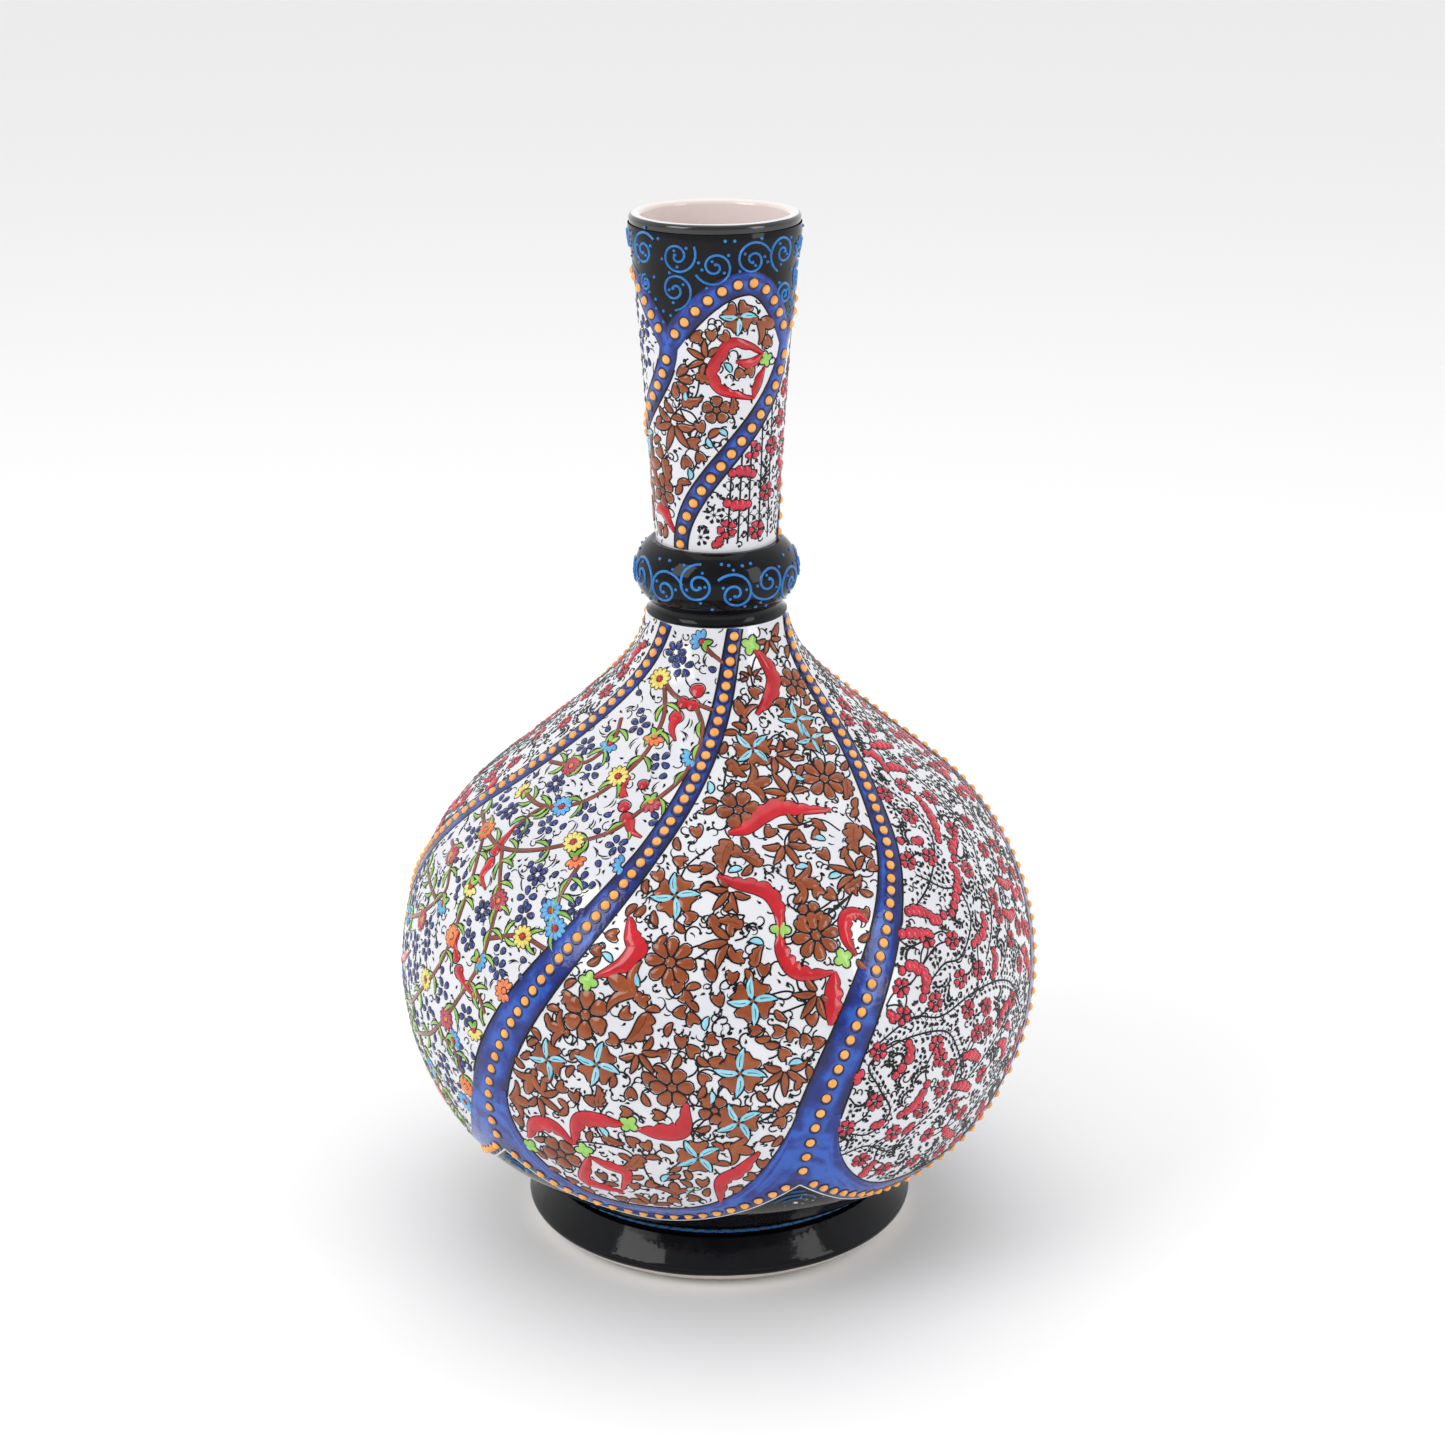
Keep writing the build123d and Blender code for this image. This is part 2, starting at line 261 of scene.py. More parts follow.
WHITES = [(0.66, 0.67, 0.72), (0.74, 0.74, 0.77)]
BLACKS = [(0.002, 0.002, 0.003), (0.006, 0.007, 0.009)]
BARE_CLAY, INNER_GLAZE, LIP_BLACK = (0.60, 0.55, 0.50), (0.80, 0.70, 0.67), (0.003, 0.003, 0.004)
GLAZE = {
    "white": glaze("white_glaze", WHITES, grain=25, bump=0.1, gloss=0.5, coat=0.5),
    "neck": glaze("neck_glaze", WHITES, grain=25, gloss=0.5, coat=0.5),
    "black": glaze("black_glaze", BLACKS, grain=60, rough=0.08, gloss=0.2, coat=0.0),
    "foot": glaze("foot_glaze", BLACKS, grain=60, rough=0.08, gloss=0.2, coat=0.0),
    "line": glaze("outline_black", [(0.003, 0.003, 0.004), (0.012, 0.012, 0.016)], grain=60, rough=0.3,
                  gloss=0.2, coat=0.0),
    "cobalt": glaze("cobalt", [(0.003, 0.008, 0.08), (0.006, 0.026, 0.24), (0.020, 0.10, 0.48)],
                    grain=160, bump=0.25, coat=0.15, gloss=0.4),
    # Dark navy used only as painted shade round the beads
    "indigo": glaze("indigo", [(0.004, 0.005, 0.04), (0.008, 0.010, 0.08)]),
    "brown": glaze("rust_brown", [(0.21, 0.036, 0.005), (0.34, 0.075, 0.012)], grain=120, coat=0.4),
    "red": glaze("crimson_red", [(0.40, 0.002, 0.010), (0.62, 0.008, 0.020)], grain=120, coat=0.4),
    "crimson": glaze("crimson_flower", [(0.42, 0.006, 0.024), (0.66, 0.02, 0.055)], coat=0.4),
    "turquoise": glaze("turquoise", [(0.16, 0.52, 0.68), (0.36, 0.72, 0.84)]),
    "lime": glaze("lime_green", [(0.22, 0.52, 0.06), (0.42, 0.70, 0.18)]),
    "leaf": glaze("leaf_green", [(0.13, 0.36, 0.03), (0.40, 0.64, 0.12)]),
    "navy": glaze("navy_petal", [(0.008, 0.014, 0.12), (0.03, 0.055, 0.30)]),
    "russet": glaze("russet_branch", [(0.15, 0.028, 0.016), (0.28, 0.07, 0.04)], grain=120),
    "yellow": glaze("yellow_daisy", [(0.72, 0.55, 0.08), (0.88, 0.78, 0.25)]),
    "sky": glaze("sky_daisy", [(0.05, 0.26, 0.60), (0.14, 0.48, 0.78)]),
    "orange": glaze("orange_daisy", [(0.70, 0.12, 0.03), (0.86, 0.26, 0.09)]),
    "plum": glaze("plum_daisy", [(0.34, 0.02, 0.05), (0.56, 0.08, 0.12)]),
    "bead": glaze("bead_orange", [(0.88, 0.34, 0.05), (0.96, 0.48, 0.12)], grain=200, rough=0.25),
    "teal": glaze("teal_relief", [(0.003, 0.045, 0.13), (0.008, 0.10, 0.25)], rough=0.25),
    "azure": glaze("azure_relief", [(0.008, 0.12, 0.40), (0.02, 0.22, 0.60)], rough=0.25),
    "slip": glaze("bare_slip", [(0.62, 0.57, 0.52), (0.74, 0.69, 0.64)], grain=90, rough=0.6, coat=0),
}
add_brush_marks(GLAZE["cobalt"])
tint_where(GLAZE["neck"], facing_in, INNER_GLAZE)
tint_where(GLAZE["neck"], outside_lip, LIP_BLACK)
tint_where(GLAZE["foot"], near_ground, BARE_CLAY)


# --- Drawing on the wall -------------------------------------------------------------------------
class Paint:
    """Faces of one glaze, gathered until they become one mesh."""

    everything = {}

    def __init__(self):
        self.points, self.quads, self.tones, self.count = [], [], [], 0

    @classmethod
    def of(cls, colour, group):
        return cls.everything.setdefault((group, colour), cls())

    def sheet(self, grid, closed=False, tone=0.0):
        """Adds a grid of points, optionally joined end to end, with its brush tone."""
        rows, cols = grid.shape[:2]
        tone = np.broadcast_to(tone, (rows, cols))
        if np.cross(grid[1, 0] - grid[0, 0], grid[0, 1] - grid[0, 0])[:2] @ grid[0, 0, :2] > 0:
            grid, tone = grid[:, ::-1], tone[:, ::-1]
        number = np.arange(rows * cols).reshape(rows, cols) + self.count
        after = np.roll(number, -1, axis=0) if closed else number[1:]
        before = number if closed else number[:-1]
        quads = np.stack([before[:, :-1], before[:, 1:], after[:, 1:], after[:, :-1]], axis=-1)
        self.points.append(grid.reshape(-1, 3))
        self.tones.append(tone.ravel())
        self.quads.append(quads.reshape(-1, 4))
        self.count += rows * cols

    def make(self, name, material, slot):
        mesh = bpy.data.meshes.new(name)
        points, quads = np.concatenate(self.points), np.concatenate(self.quads)
        mesh.vertices.add(len(points))
        mesh.vertices.foreach_set("co", points.ravel())
        mesh.loops.add(quads.size)
        mesh.loops.foreach_set("vertex_index", quads.ravel().astype(np.int32))
        mesh.polygons.add(len(quads))
        mesh.polygons.foreach_set("loop_start", np.arange(0, quads.size, 4, dtype=np.int32))
        mesh.update(calc_edges=True)
        tone = mesh.attributes.new("tone", "FLOAT", "POINT")
        tone.data.foreach_set("value", np.concatenate(self.tones).astype(np.float32))
        mesh.validate()
        mesh.polygons.foreach_set("use_smooth", np.ones(len(mesh.polygons), dtype=bool))
        mesh.materials.append(material)
        piece = bpy.data.objects.new(name, mesh)
        bpy.context.collection.objects.link(piece)
        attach(piece, "root")


def curve(points, spacing=1.0):
    """Smooth line through given points, sampled about every spacing millimetres."""
    points = np.asarray(points, float)
    if len(points) == 2:
        points = np.stack([points[0], points.mean(axis=0), points[1]])
    line = np.concatenate([[2 * points[0] - points[1]], points, [2 * points[-1] - points[-2]]])
    out = []
    for a, b, c, d in zip(line, line[1:], line[2:], line[3:]):
        steps = max(2, int(math.dist(b[:2], c[:2]) / spacing))
        t = np.linspace(0, 1, steps, endpoint=False)[:, None]
        out.append(0.5 * (2 * b + (c - a) * t + (2 * a - 5 * b + 4 * c - d) * t**2
                          + (3 * b - a - 3 * c + d) * t**3))
    return np.concatenate([*out, points[-1:]])


STREAK = 6.0        # a brush streak changes its tone about this often along the band


def brush_marks(walked, side):
    """Darker towards both edges, with streaks that run along the band and change slowly."""
    knots = np.arange(walked.min() - STREAK, walked.max() + 2 * STREAK, STREAK)
    streaks = [np.interp(walked, knots, [rng.random() for _ in knots]) for _ in side]
    return 0.34 - 0.30 * side[None] ** 2 + 0.34 * (np.stack(streaks, axis=1) - 0.5)


EDGE_ROOM, SLIP = 0.9, 0.12     # room a shape needs beside a band, and how far its outline slips


class Field:
    """A part of the wall to draw on: x millimetres across from its middle line, y millimetres up."""

    def __init__(self, wall, middle, group):
        self.wall, self.middle, self.group, self.inside = wall, middle, group, None
        self.taken = []

    def spread(self, x, y):
        """Angle and length of points given in the field's own sheared grid."""
        return self.middle(y) + np.degrees(x / self.wall.radius(y)), y

    def local(self, at, turn, points):
        """The same for a small upright motif, turned and set down at a place in the field."""
        turn = math.radians(turn)
        x, y = points[..., 0], points[..., 1]
        u, v = x * math.cos(turn) - y * math.sin(turn), x * math.sin(turn) + y * math.cos(turn)
        base = self.middle(at[1]) + np.degrees(at[0] / self.wall.radius(at[1]))
        return base + np.degrees(u / self.wall.radius(at[1] + v)), at[1] + v

    def across(self, angle, s, closed=False):
        """Unit vectors across a line, in millimetres, and the wall's radius along it."""
        r = self.wall.radius(s)
        if closed:
            step_x = np.radians(np.roll(angle, -1) - np.roll(angle, 1)) * r
            step_y = np.roll(s, -1) - np.roll(s, 1)
        else:
            step_x, step_y = np.gradient(np.radians(angle)) * r, np.gradient(s)
        size = np.maximum(np.hypot(step_x, step_y), 1e-9)
        return -step_y / size, step_x / size, r

    def stroke(self, colour, angle, s, half, lifts=(0.05, 0.22, 0.05), closed=False):
        """A painted line; half is its half width, or one each for its left and right sides."""
        left, right = half if isinstance(half, tuple) else (half, half)
        left, right = np.broadcast_to(left, angle.shape), np.broadcast_to(right, angle.shape)
        over_x, over_y, r = self.across(angle, s, closed)
        side = np.linspace(-1, 1, len(lifts))
        reach = np.where(side < 0, right[:, None], left[:, None]) * side
        angles = angle[:, None] + np.degrees(over_x[:, None] * reach / r[:, None])
        lengths = s[:, None] + over_y[:, None] * reach
        grid = self.wall.at(angles, lengths, np.asarray(lifts)[None])
        tone = brush_marks(r * np.radians(angle) + s, side) if colour == "cobalt" else 0.0
        Paint.of(colour, self.group).sheet(grid, closed, tone)

    def blob(self, colour, angle, s, crown=0.35):
        """A closed domed shape filled in towards its middle."""
        centre_a, centre_s = angle.mean(), s.mean()
        shrink = np.array([1.0, 0.74, 0.4, 0.02])
        lifts = 0.06 + crown * np.array([0.0, 0.55, 0.9, 1.0])
        angles = centre_a + (angle[:, None] - centre_a) * shrink
        lengths = centre_s + (s[:, None] - centre_s) * shrink
        grid = self.wall.at(angles, lengths, lifts[None])
        Paint.of(colour, self.group).sheet(grid, closed=True)

    def ring(self, at, turn, outline, ink):
        """A drawn line around a local outline."""
        self.stroke("line", *self.local(at, turn, outline), ink, lifts=(0.10, 0.14), closed=True)

    def off_panel(self, at, turn, middle):
        """Whether the middle of a local shape would lie on a band."""
        return self.inside is not None and not self.inside(*ahead(at, turn, middle), EDGE_ROOM)

    def shape(self, colour, at, turn, outline, crown=0.35, ink=LINE, gap=0.12):
        """A domed local shape with its inked outline, a little off as a hand draws it."""
        outline = np.asarray(outline)
        if self.off_panel(at, turn, outline.mean(axis=0)):
            return
        self.blob(colour, *self.local(at, turn, outline), crown)
        if ink:
            middle = outline.mean(axis=0)
            reach = np.hypot(*(outline - middle).T).mean()
            slip = rng.uniform(-SLIP, SLIP)
            self.ring(at, turn, middle + (outline - middle) * (1 + (gap + ink) / reach) + slip, ink)

    def leaf(self, colour, at, turn, length, width, bend=0.0, fat=0.8, lobes=0, ink=LINE, crown=0.35):
        """A bent leaf growing up from its place, with scallops on one side when it has lobes."""
        count = max(5, int((5 if ink else 3.7) + length)) + 4 * lobes
        t = np.linspace(0, 1, count)
        heading = bend * t
        spine = np.stack([np.cumsum(np.sin(heading)), np.cumsum(np.cos(heading))], axis=-1)
        spine *= length / count
        if self.off_panel(at, turn, spine[count * 2 // 3]):
            return
        half = np.maximum(width / 2 * np.sin(math.pi * t**fat) ** 0.85, 0.03)
        other = half * (0.7 + 0.75 * np.abs(np.sin(lobes * math.pi * t)) ** 0.7) if lobes else half
        left, right = (other, half) if bend > 0 else (half, other)
        lifts = (0.06, 0.06 + crown, 0.06) if length < 3.2 else (0.06, 0.05 + crown, 0.06 + crown, 0.06)
        angle, s = self.local(at, turn, spine)
        self.stroke(colour, angle, s, (left, right), lifts)
        if ink:
            step = np.gradient(spine, axis=0)
            over = np.stack([-step[:, 1], step[:, 0]], axis=-1) / np.hypot(*step.T)[:, None]
            wide_left, wide_right = left[:, None] + ink, right[:, None] + ink
            loop = np.concatenate([spine + over * wide_left, (spine - over * wide_right)[::-1]])
            self.ring(at, turn, loop, ink)

    def petals(self, colour, at, turn, number, inner, length, width, lean=0.35, notch=0.0, **finish):
        for k in range(number):
            outline = ellipse(length, width, lean=lean, base=inner, notch=notch)
            self.shape(colour, at, turn, turned(outline, 360 / number * k), **finish)

    def line(self, at, turn, path, half=LINE, lifts=(0.08, 0.14, 0.08), taper=0.7):
        """A local line that thins towards its end."""
        path = np.asarray(path, float)
        size = np.linspace(0, 1, len(path))
        self.stroke("line", *self.local(at, turn, path), half * (1 - taper * size**2), lifts)

    def drawn(self, places, half, lifts, colour="line"):
        """A line of one width through places in the field's own grid."""
        self.stroke(colour, *self.spread(places[:, 0], places[:, 1]), half, lifts=lifts)

    def far_line(self, points, half, colour, lifts=(0.05, 0.22, 0.05), ink=0.0, bumps=0.0, room=0.8):
        """A line whose points are in the field's grid; a third value scales its width there."""
        points = [(*p, 1.0)[:3] for p in points]
        path = curve(points, 0.8)
        width = half * np.maximum(path[:, 2], 0.06)
        scallop = width
        if bumps:
            walked = walk(*path[:, :2].T)
            scallop = width * (1 + bumps * (np.abs(np.sin(walked * 0.56)) ** 0.7 - 0.3))
        angle, s = self.spread(path[:, 0], path[:, 1])
        self.stroke(colour, angle, s, (scallop, width), lifts)
        if ink:
            self.stroke("line", angle, s, (scallop + ink, width + ink), lifts=(0.03, 0.045, 0.03))
        for x, y, scale in path[::3]:
            self.take(x, y, half * scale + room)

    # Room keeping, so that fillings keep off what is already drawn
    def take(self, x, y, reach):
        self.taken.append((x, y, reach))

    def free(self, x, y, reach):
        if self.inside and not self.inside(x, y, reach):
            return False
        if not self.taken:
            return True
        taken = np.array(self.taken)
        return bool((np.hypot(taken[:, 0] - x, taken[:, 1] - y) > taken[:, 2] + reach).all())


def ellipse(length, width, count=12, lean=0.0, base=0.0, notch=0.0):
    """Petal outline along +y from base; lean widens it towards its tip, notch makes it a heart."""
    t = np.linspace(0, 2 * math.pi, count, endpoint=False)
    y = (1 - np.cos(t)) / 2
    x = np.sin(t) * width / 2 * (1 + lean * (y - 0.5) * 2)
    y = y * (1 - notch * np.exp(-((t - math.pi) / 0.45) ** 2))
    return np.stack([x, base + y * length], axis=-1)


def turned(outline, degrees):
    """An outline turned anticlockwise about its own origin."""
    a = math.radians(degrees)
    x, y = outline.T
    return np.stack([x * math.cos(a) - y * math.sin(a), x * math.sin(a) + y * math.cos(a)], axis=-1)


def ahead(at, heading, step):
    """The place a step away from another, the step being given as it lies before it is turned."""
    return turned(np.array([step]), heading)[0] + at


def lean_of(step):
    """Heading of a step, in degrees from straight up."""
    return math.degrees(math.atan2(-step[0], step[1]))


def disc(radius, count=10):
    t = np.linspace(0, 2 * math.pi, count, endpoint=False)
    return np.stack([np.cos(t) * radius, np.sin(t) * radius], axis=-1)


def lobed(radius, lobes, depth=0.3):
    """A round outline with notches between its lobes."""
    t = np.linspace(0, 2 * math.pi, 24, endpoint=False)
    r = radius * (1 - depth * (1 - np.abs(np.cos(lobes * t / 2))))
    return np.stack([np.sin(t) * r, np.cos(t) * r], axis=-1)


def tendril(length, turn, power=2.0):
    """A line that starts straight up and curls by turn degrees, tighter towards its end."""
    count = max(6, int(length * 1.6))
    t = np.linspace(0, 1, count)
    heading = math.radians(turn) * t**power
    return np.stack([np.cumsum(np.sin(heading)), np.cumsum(np.cos(heading))], axis=-1) * length / count


# --- Bands, arches and garlands ------------------------------------------------------------------
def swirl(z):
    """How far the bands have turned at a height, in degrees."""
    rise = np.clip((z - GARLAND_Z) / (THROAT_Z - GARLAND_Z), 0, 1.1)
    return BAND_TURN * rise**2 * (1.5 - 0.5 * rise)


def band_half(s):
    """Half width of a globe band: broad above the garland, narrow at the throat."""
    return np.interp(s, (85, 110, 140, 165, 200, 250, 292), (9.4, 8.6, 7.4, 5.9, 4.2, 3.5, 2.8))


def garland_s(share):
    """Length up the wall of a garland's middle line, from one band to the next."""
    share = np.clip(share, 0, 1)
    return globe.length(GARLAND_Z - GARLAND_DROP * np.sin(math.pi * share) ** 0.8)


def from_middle(angle):
    """How far an angle lies from the middle of its globe panel, as a share of the half panel."""
    return np.abs(((angle - FIRST_CUSP) / STEP) % 1.0 * 2 - 1)


WINDOW_TOP, WINDOW_LOW = 100.0, 51.5
WINDOW_SIDE = 1 - band_half(WINDOW_TOP) / (math.radians(STEP / 2) * globe.radius(WINDOW_TOP))
BASE_LOW, BASE_PEAK = 32.0, 67.0


def window_s(angle):
    """Round-cornered lower edge of a panel's white window."""
    reach = np.clip(from_middle(angle) / WINDOW_SIDE, 0, 1)
    return WINDOW_TOP - (WINDOW_TOP - WINDOW_LOW) * (1 - reach**2.6) ** 0.625


def base_edge(angle):
    """Lower edge of the garland: scalloped, rising to a point under each band."""
    return BASE_LOW + (BASE_PEAK - BASE_LOW) * from_middle(angle) ** 1.5


WIDE = (0.05, 0.28, 0.42, 0.48, 0.42, 0.28, 0.05)
flat = Field(globe, lambda s: 0 * s, "bands")
neck_flat = Field(neck, lambda s: 0 * s, "bands")


def ruled_edges(field, angle, s, half, sides=(-1, 1)):
    """Black line along the edges of a band."""
    over_x, over_y, r = field.across(angle, s)
    for side in sides:
        shifted = angle + side * np.degrees(over_x * half / r)
        field.stroke("line", shifted, s + side * over_y * half, EDGE_HALF, lifts=(0.08, 0.22, 0.08))


def bead_places(wall, angle, s, pitch=BEAD_PITCH, spread=0.0):
    """Where the part's beads stand along a path, by the part's own spacing."""
    gaps = np.linalg.norm(np.diff(wall.at(angle, s), axis=0), axis=1) / MM
    beats = gaps / (pitch + spread * (1 - np.linspace(0, 1, len(gaps))) ** 4)
    walked = np.concatenate([[0], np.cumsum(beats)])
    marks = np.linspace(0, walked[-1], round(walked[-1]) + 1)
    return np.interp(marks, walked, angle), np.interp(marks, walked, s)


def paint_bead_shade(field, angle, s, **spacing):
    """Painted shade: a dark navy ring round the foot of every bead, thickest below it, standing in for the
    shadow the bead casts on the band.
    """
    for a, y in zip(*bead_places(field.wall, angle, s, **spacing)):
        x = math.radians(a) * field.wall.radius(y)
        around, up = field.local((x, y - 0.25), 0, disc(2.0, 14))
        # Painted shadow: a dark ring set a little below the bead, lying on the band
        field.stroke("indigo", around, up, 0.5, lifts=(0.44, 0.58, 0.47), closed=True)


def zone(wall, colour, low, high, lift=0.05, group="zones", shear=None):
    """A ring of glaze between two heights that may change round the vase."""
    angle = np.linspace(-180, 180, 1440, endpoint=False)
    share = np.linspace(0, 1, 14)
    s = low(angle)[:, None] * (1 - share) + high(angle)[:, None] * share
    tone = brush_marks(np.abs(angle) * 2, share * 1.6 - 0.9) if colour == "cobalt" else 0.0
    angle = angle[:, None] + (shear(wall.height(s)) if shear else 0)
    Paint.of(colour, group).sheet(wall.at(angle, s, lift), closed=True, tone=tone)


def paint_globe_bands():
    """The six bands of the globe with their edges, the lines round the garland and panels, and painted shade
    round their beads.
    """
    for number in range(BANDS):
        cusp = FIRST_CUSP + STEP * number
        s = np.linspace(WINDOW_TOP - 6, globe.s[-1], 160)
        angle = cusp + swirl(globe.height(s))
        flat.stroke("cobalt", angle, s, band_half(s), WIDE)
        edge = s > WINDOW_TOP
        ruled_edges(flat, angle[edge], s[edge], band_half(s[edge]))
        angle = np.linspace(cusp, cusp + STEP, 240)
        inner = angle[np.abs(angle - cusp - STEP / 2) < WINDOW_SIDE * STEP / 2]
        s = window_s(inner)
        flat.stroke("line", inner + swirl(globe.height(s)), s, EDGE_HALF, lifts=(0.1, 0.3, 0.1))
        flat.stroke("white", angle, base_edge(angle), 0.5, lifts=(0.1, 0.5, 0.1))
        share = np.linspace(0, 1, 400)
        z = GARLAND_Z + 3 + (THROAT_Z - 6 - GARLAND_Z) * share
        # Painted shade round the beads of the band and of the garland
        paint_bead_shade(flat, cusp + swirl(z), globe.length(z), pitch=BODY_BEAD_PITCH, spread=BODY_BEAD_SPREAD)
        along = 0.045 + 0.91 * share
        paint_bead_shade(flat, cusp + STEP * along, garland_s(along))


def arch_path(left, right, share):
    """Angle and length of an arch's middle line between two bands of the neck."""
    side = np.where(share < ARCH_CROWN, share / ARCH_CROWN, (1 - share) / (1 - ARCH_CROWN))
    return left + (right - left) * share, neck.length(ARCH_Z + ARCH_RISE * np.sin(math.pi / 2 * side))


def neck_cusps():
    return (*ARCH_CUSPS, ARCH_CUSPS[0] + 360)


def neck_band_angle(number, s):
    """Angle of a neck band's middle line at a length up the neck."""
    down = np.clip((ARCH_Z - neck.height(s)) / (ARCH_Z - COLLAR_TOP_Z), 0, 1)
    cusp, foot = neck_cusps()[number % 3], NECK_FEET[number % 3]
    return cusp + (foot - cusp) * down**2 * (3 - 2 * down) + 360 * (number // 3)


def neck_half(s):
    """Half width of a neck band."""
    return np.interp(s, (0, 20, 60, 85), (2.9, 3.4, 4.0, 4.4))


ARCH_HALF, EDGE_HALF = 4.4, 0.42


def paint_neck_bands():
    """The three bands of the neck, their arches, and the edges that go with them, with painted shade round
    their beads.
    """
    for number in range(3):
        s = np.linspace(0, neck.length(ARCH_Z), 120)
        angle = neck_band_angle(number, s)
        neck_flat.stroke("cobalt", angle, s, neck_half(s), WIDE)
        ruled_edges(neck_flat, angle[:-12], s[:-12], neck_half(s[:-12]))
        share = np.linspace(0.0, 1.0, 160)
        angle, s = arch_path(*neck_cusps()[number:number + 2], share)
        neck_flat.stroke("cobalt", angle, s, ARCH_HALF, [lift + 0.02 for lift in WIDE])
        crown = (share > 0.068) & (share < 0.942)
        # Painted shade round the beads of the arch, and below it of the band
        paint_bead_shade(neck_flat, angle[crown], s[crown])
        z = ARCH_Z - (ARCH_Z - COLLAR_TOP_Z) * (0.075 + 0.895 * np.linspace(0, 1, 300))
        rows = neck.length(z)
        paint_bead_shade(neck_flat, neck_band_angle(number, rows), rows)
        ruled_edges(neck_flat, angle[14:-14], s[14:-14], np.full(132, ARCH_HALF), sides=(-1,))
        ruled_edges(neck_flat, angle[5:-5], s[5:-5], np.full(150, ARCH_HALF), sides=(1,))


def rim_edge(angle):
    """Upper edge of the neck's arches."""
    cusps = np.array(neck_cusps())
    around = (angle - cusps[0]) % 360 + cusps[0]
    number = np.clip(np.searchsorted(cusps, around, side="right") - 1, 0, 2)
    left, right = cusps[number], cusps[number + 1]
    return arch_path(left, right, (around - left) / (right - left))[1]


def paint_zones():
    """The black glaze below the garland and round the rim, and the cobalt of the garland."""
    zone(globe, "black", lambda a: 0 * a, base_edge, shear=swirl)
    zone(globe, "cobalt", base_edge, window_s, lift=0.3, shear=swirl, group="bands")
    lip = neck.length(LIP_Z)
    zone(neck, "black", rim_edge, lambda a: 0 * a + lip)


# --- Flowers, leaves and scrolls ------------------------------------------------------------------
def rosette(field, x, y, petals, radius, turn=0.0):
    """A round brown flower: separate petals about a small core."""
    core = radius * 0.2
    width = 2 * math.pi * radius * 0.66 / petals - 0.75
    field.petals("brown", (x, y), turn, petals, core + 0.55, radius - core - 0.55, width, crown=0.5)
    field.shape("brown", (x, y), 0, disc(core), crown=0.45)
    field.take(x, y, radius * 0.95)


def star(field, x, y, turn=0.0, radius=9.0):
    """Brown hearts with turquoise leaves lying on them as a pinwheel."""
    field.petals("brown", (x, y), turn + 45, 4, 1.4, radius - 2.2, radius * 0.72, lean=0.5, notch=0.24)
    for k in range(4):
        field.leaf("turquoise", (x, y), turn + 90 * k, radius, radius * 0.32, bend=0.5, crown=0.6, ink=0.32)
        field.line((x, y), turn + 90 * k, tendril(radius * 0.75, 28)[3:], half=0.26, lifts=(0.6, 0.74, 0.6))
    field.shape("brown", (x, y), 0, disc(0.9), crown=0.8)
    field.take(x, y, radius * 0.86)


def from_foot(x, y, turn, size):
    """Where a motif of that size starts when its middle is to stand at a place."""
    return tuple(ahead((x, y), turn, (0.0, -size / 2)))


def saz(field, x, y, turn=0.0, size=12.0):
    """A long curved leaf, serrated along its outer side, with a rib and a curl at its foot."""
    way = 1 if (int(x) + int(y)) % 2 else -1
    at = from_foot(x, y, turn, size)
    field.leaf("brown", at, turn - 25 * way, size, size * 0.36, bend=1.0 * way, lobes=4, fat=0.62, crown=0.45)
    field.line(at, turn - 25 * way, tendril(size * 0.8, 50 * way, power=1.0)[2:], half=0.2,
               lifts=(0.46, 0.54, 0.46))
    field.line(at, turn + 70 * way, tendril(size * 0.8, -210 * way), half=0.32)
    field.leaf("line", at, turn + 120 * way, size * 0.3, 0.9, bend=-way, fat=1.5, ink=0, crown=0.1)
    field.take(x, y, size * 0.38)


def tulip(field, x, y, turn=0.0, size=11.0):
    """A flower seen from its side: a middle petal between two that curl outwards."""
    at = from_foot(x, y, turn, size * 0.9)
    for way in (-1, 1):
        field.leaf("brown", at, turn - 12 * way, size * 1.05, size * 0.25, bend=1.7 * way, fat=0.8, crown=0.4)
    field.petals("brown", at, turn, 1, size * 0.24, size * 0.72, size * 0.42, lean=-0.1, notch=0.0, crown=0.5)
    field.shape("brown", at, 0, disc(size * 0.12), crown=0.5)
    field.line(at, turn + 180, tendril(size * 0.8, 100)[1:], half=0.34)
    field.take(x, y, size * 0.4)


def fan(field, x, y, turn=0.0, size=12.0):
    """Separate narrow leaves that spread from one stem."""
    at = from_foot(x, y, turn, size * 0.8)
    for k, heading in enumerate((-72, -36, 0, 36, 72)):
        reach = size * (0.62, 0.78, 0.86, 0.78, 0.62)[k]
        start = ahead(at, turn + heading, (0.0, 1.2))
        field.leaf("brown", start, turn + heading, reach, size * 0.2, bend=-heading / 60)
    field.line(at, turn + 180, tendril(size * 0.7, -90), half=0.34)
    field.take(x, y, size * 0.42)


def palmette(field, x, y, turn=0.0, size=12.0):
    """One of the three kinds of large brown leaf, by turns over the panel."""
    (saz, tulip, fan)[int(x + 2 * y) % 3](field, x, y, turn, size)


def bud(field, x, y, turn, size):
    """A notched brown bud on a curling stalk."""
    field.petals("brown", (x, y), turn, 1, -size * 0.45, size, size * 0.78, lean=0.35, notch=0.3)
    field.line((x, y), turn + 180, tendril(size * 1.3, 110)[1:], half=0.32)
    field.take(x, y, size * 0.5)


def small_leaf(field, x, y, turn, length, colour="brown"):
    """A short bent leaf on a stalk."""
    at = from_foot(x, y, turn, length)
    bend = rng.choice((-1.1, 1.1))
    field.leaf(colour, at, turn, length, length * 0.38, bend=bend, fat=0.9)
    field.line(at, turn + 180, tendril(length * 0.6, 60 * bend)[1:], half=0.3)
    field.take(x, y, length * 0.36)


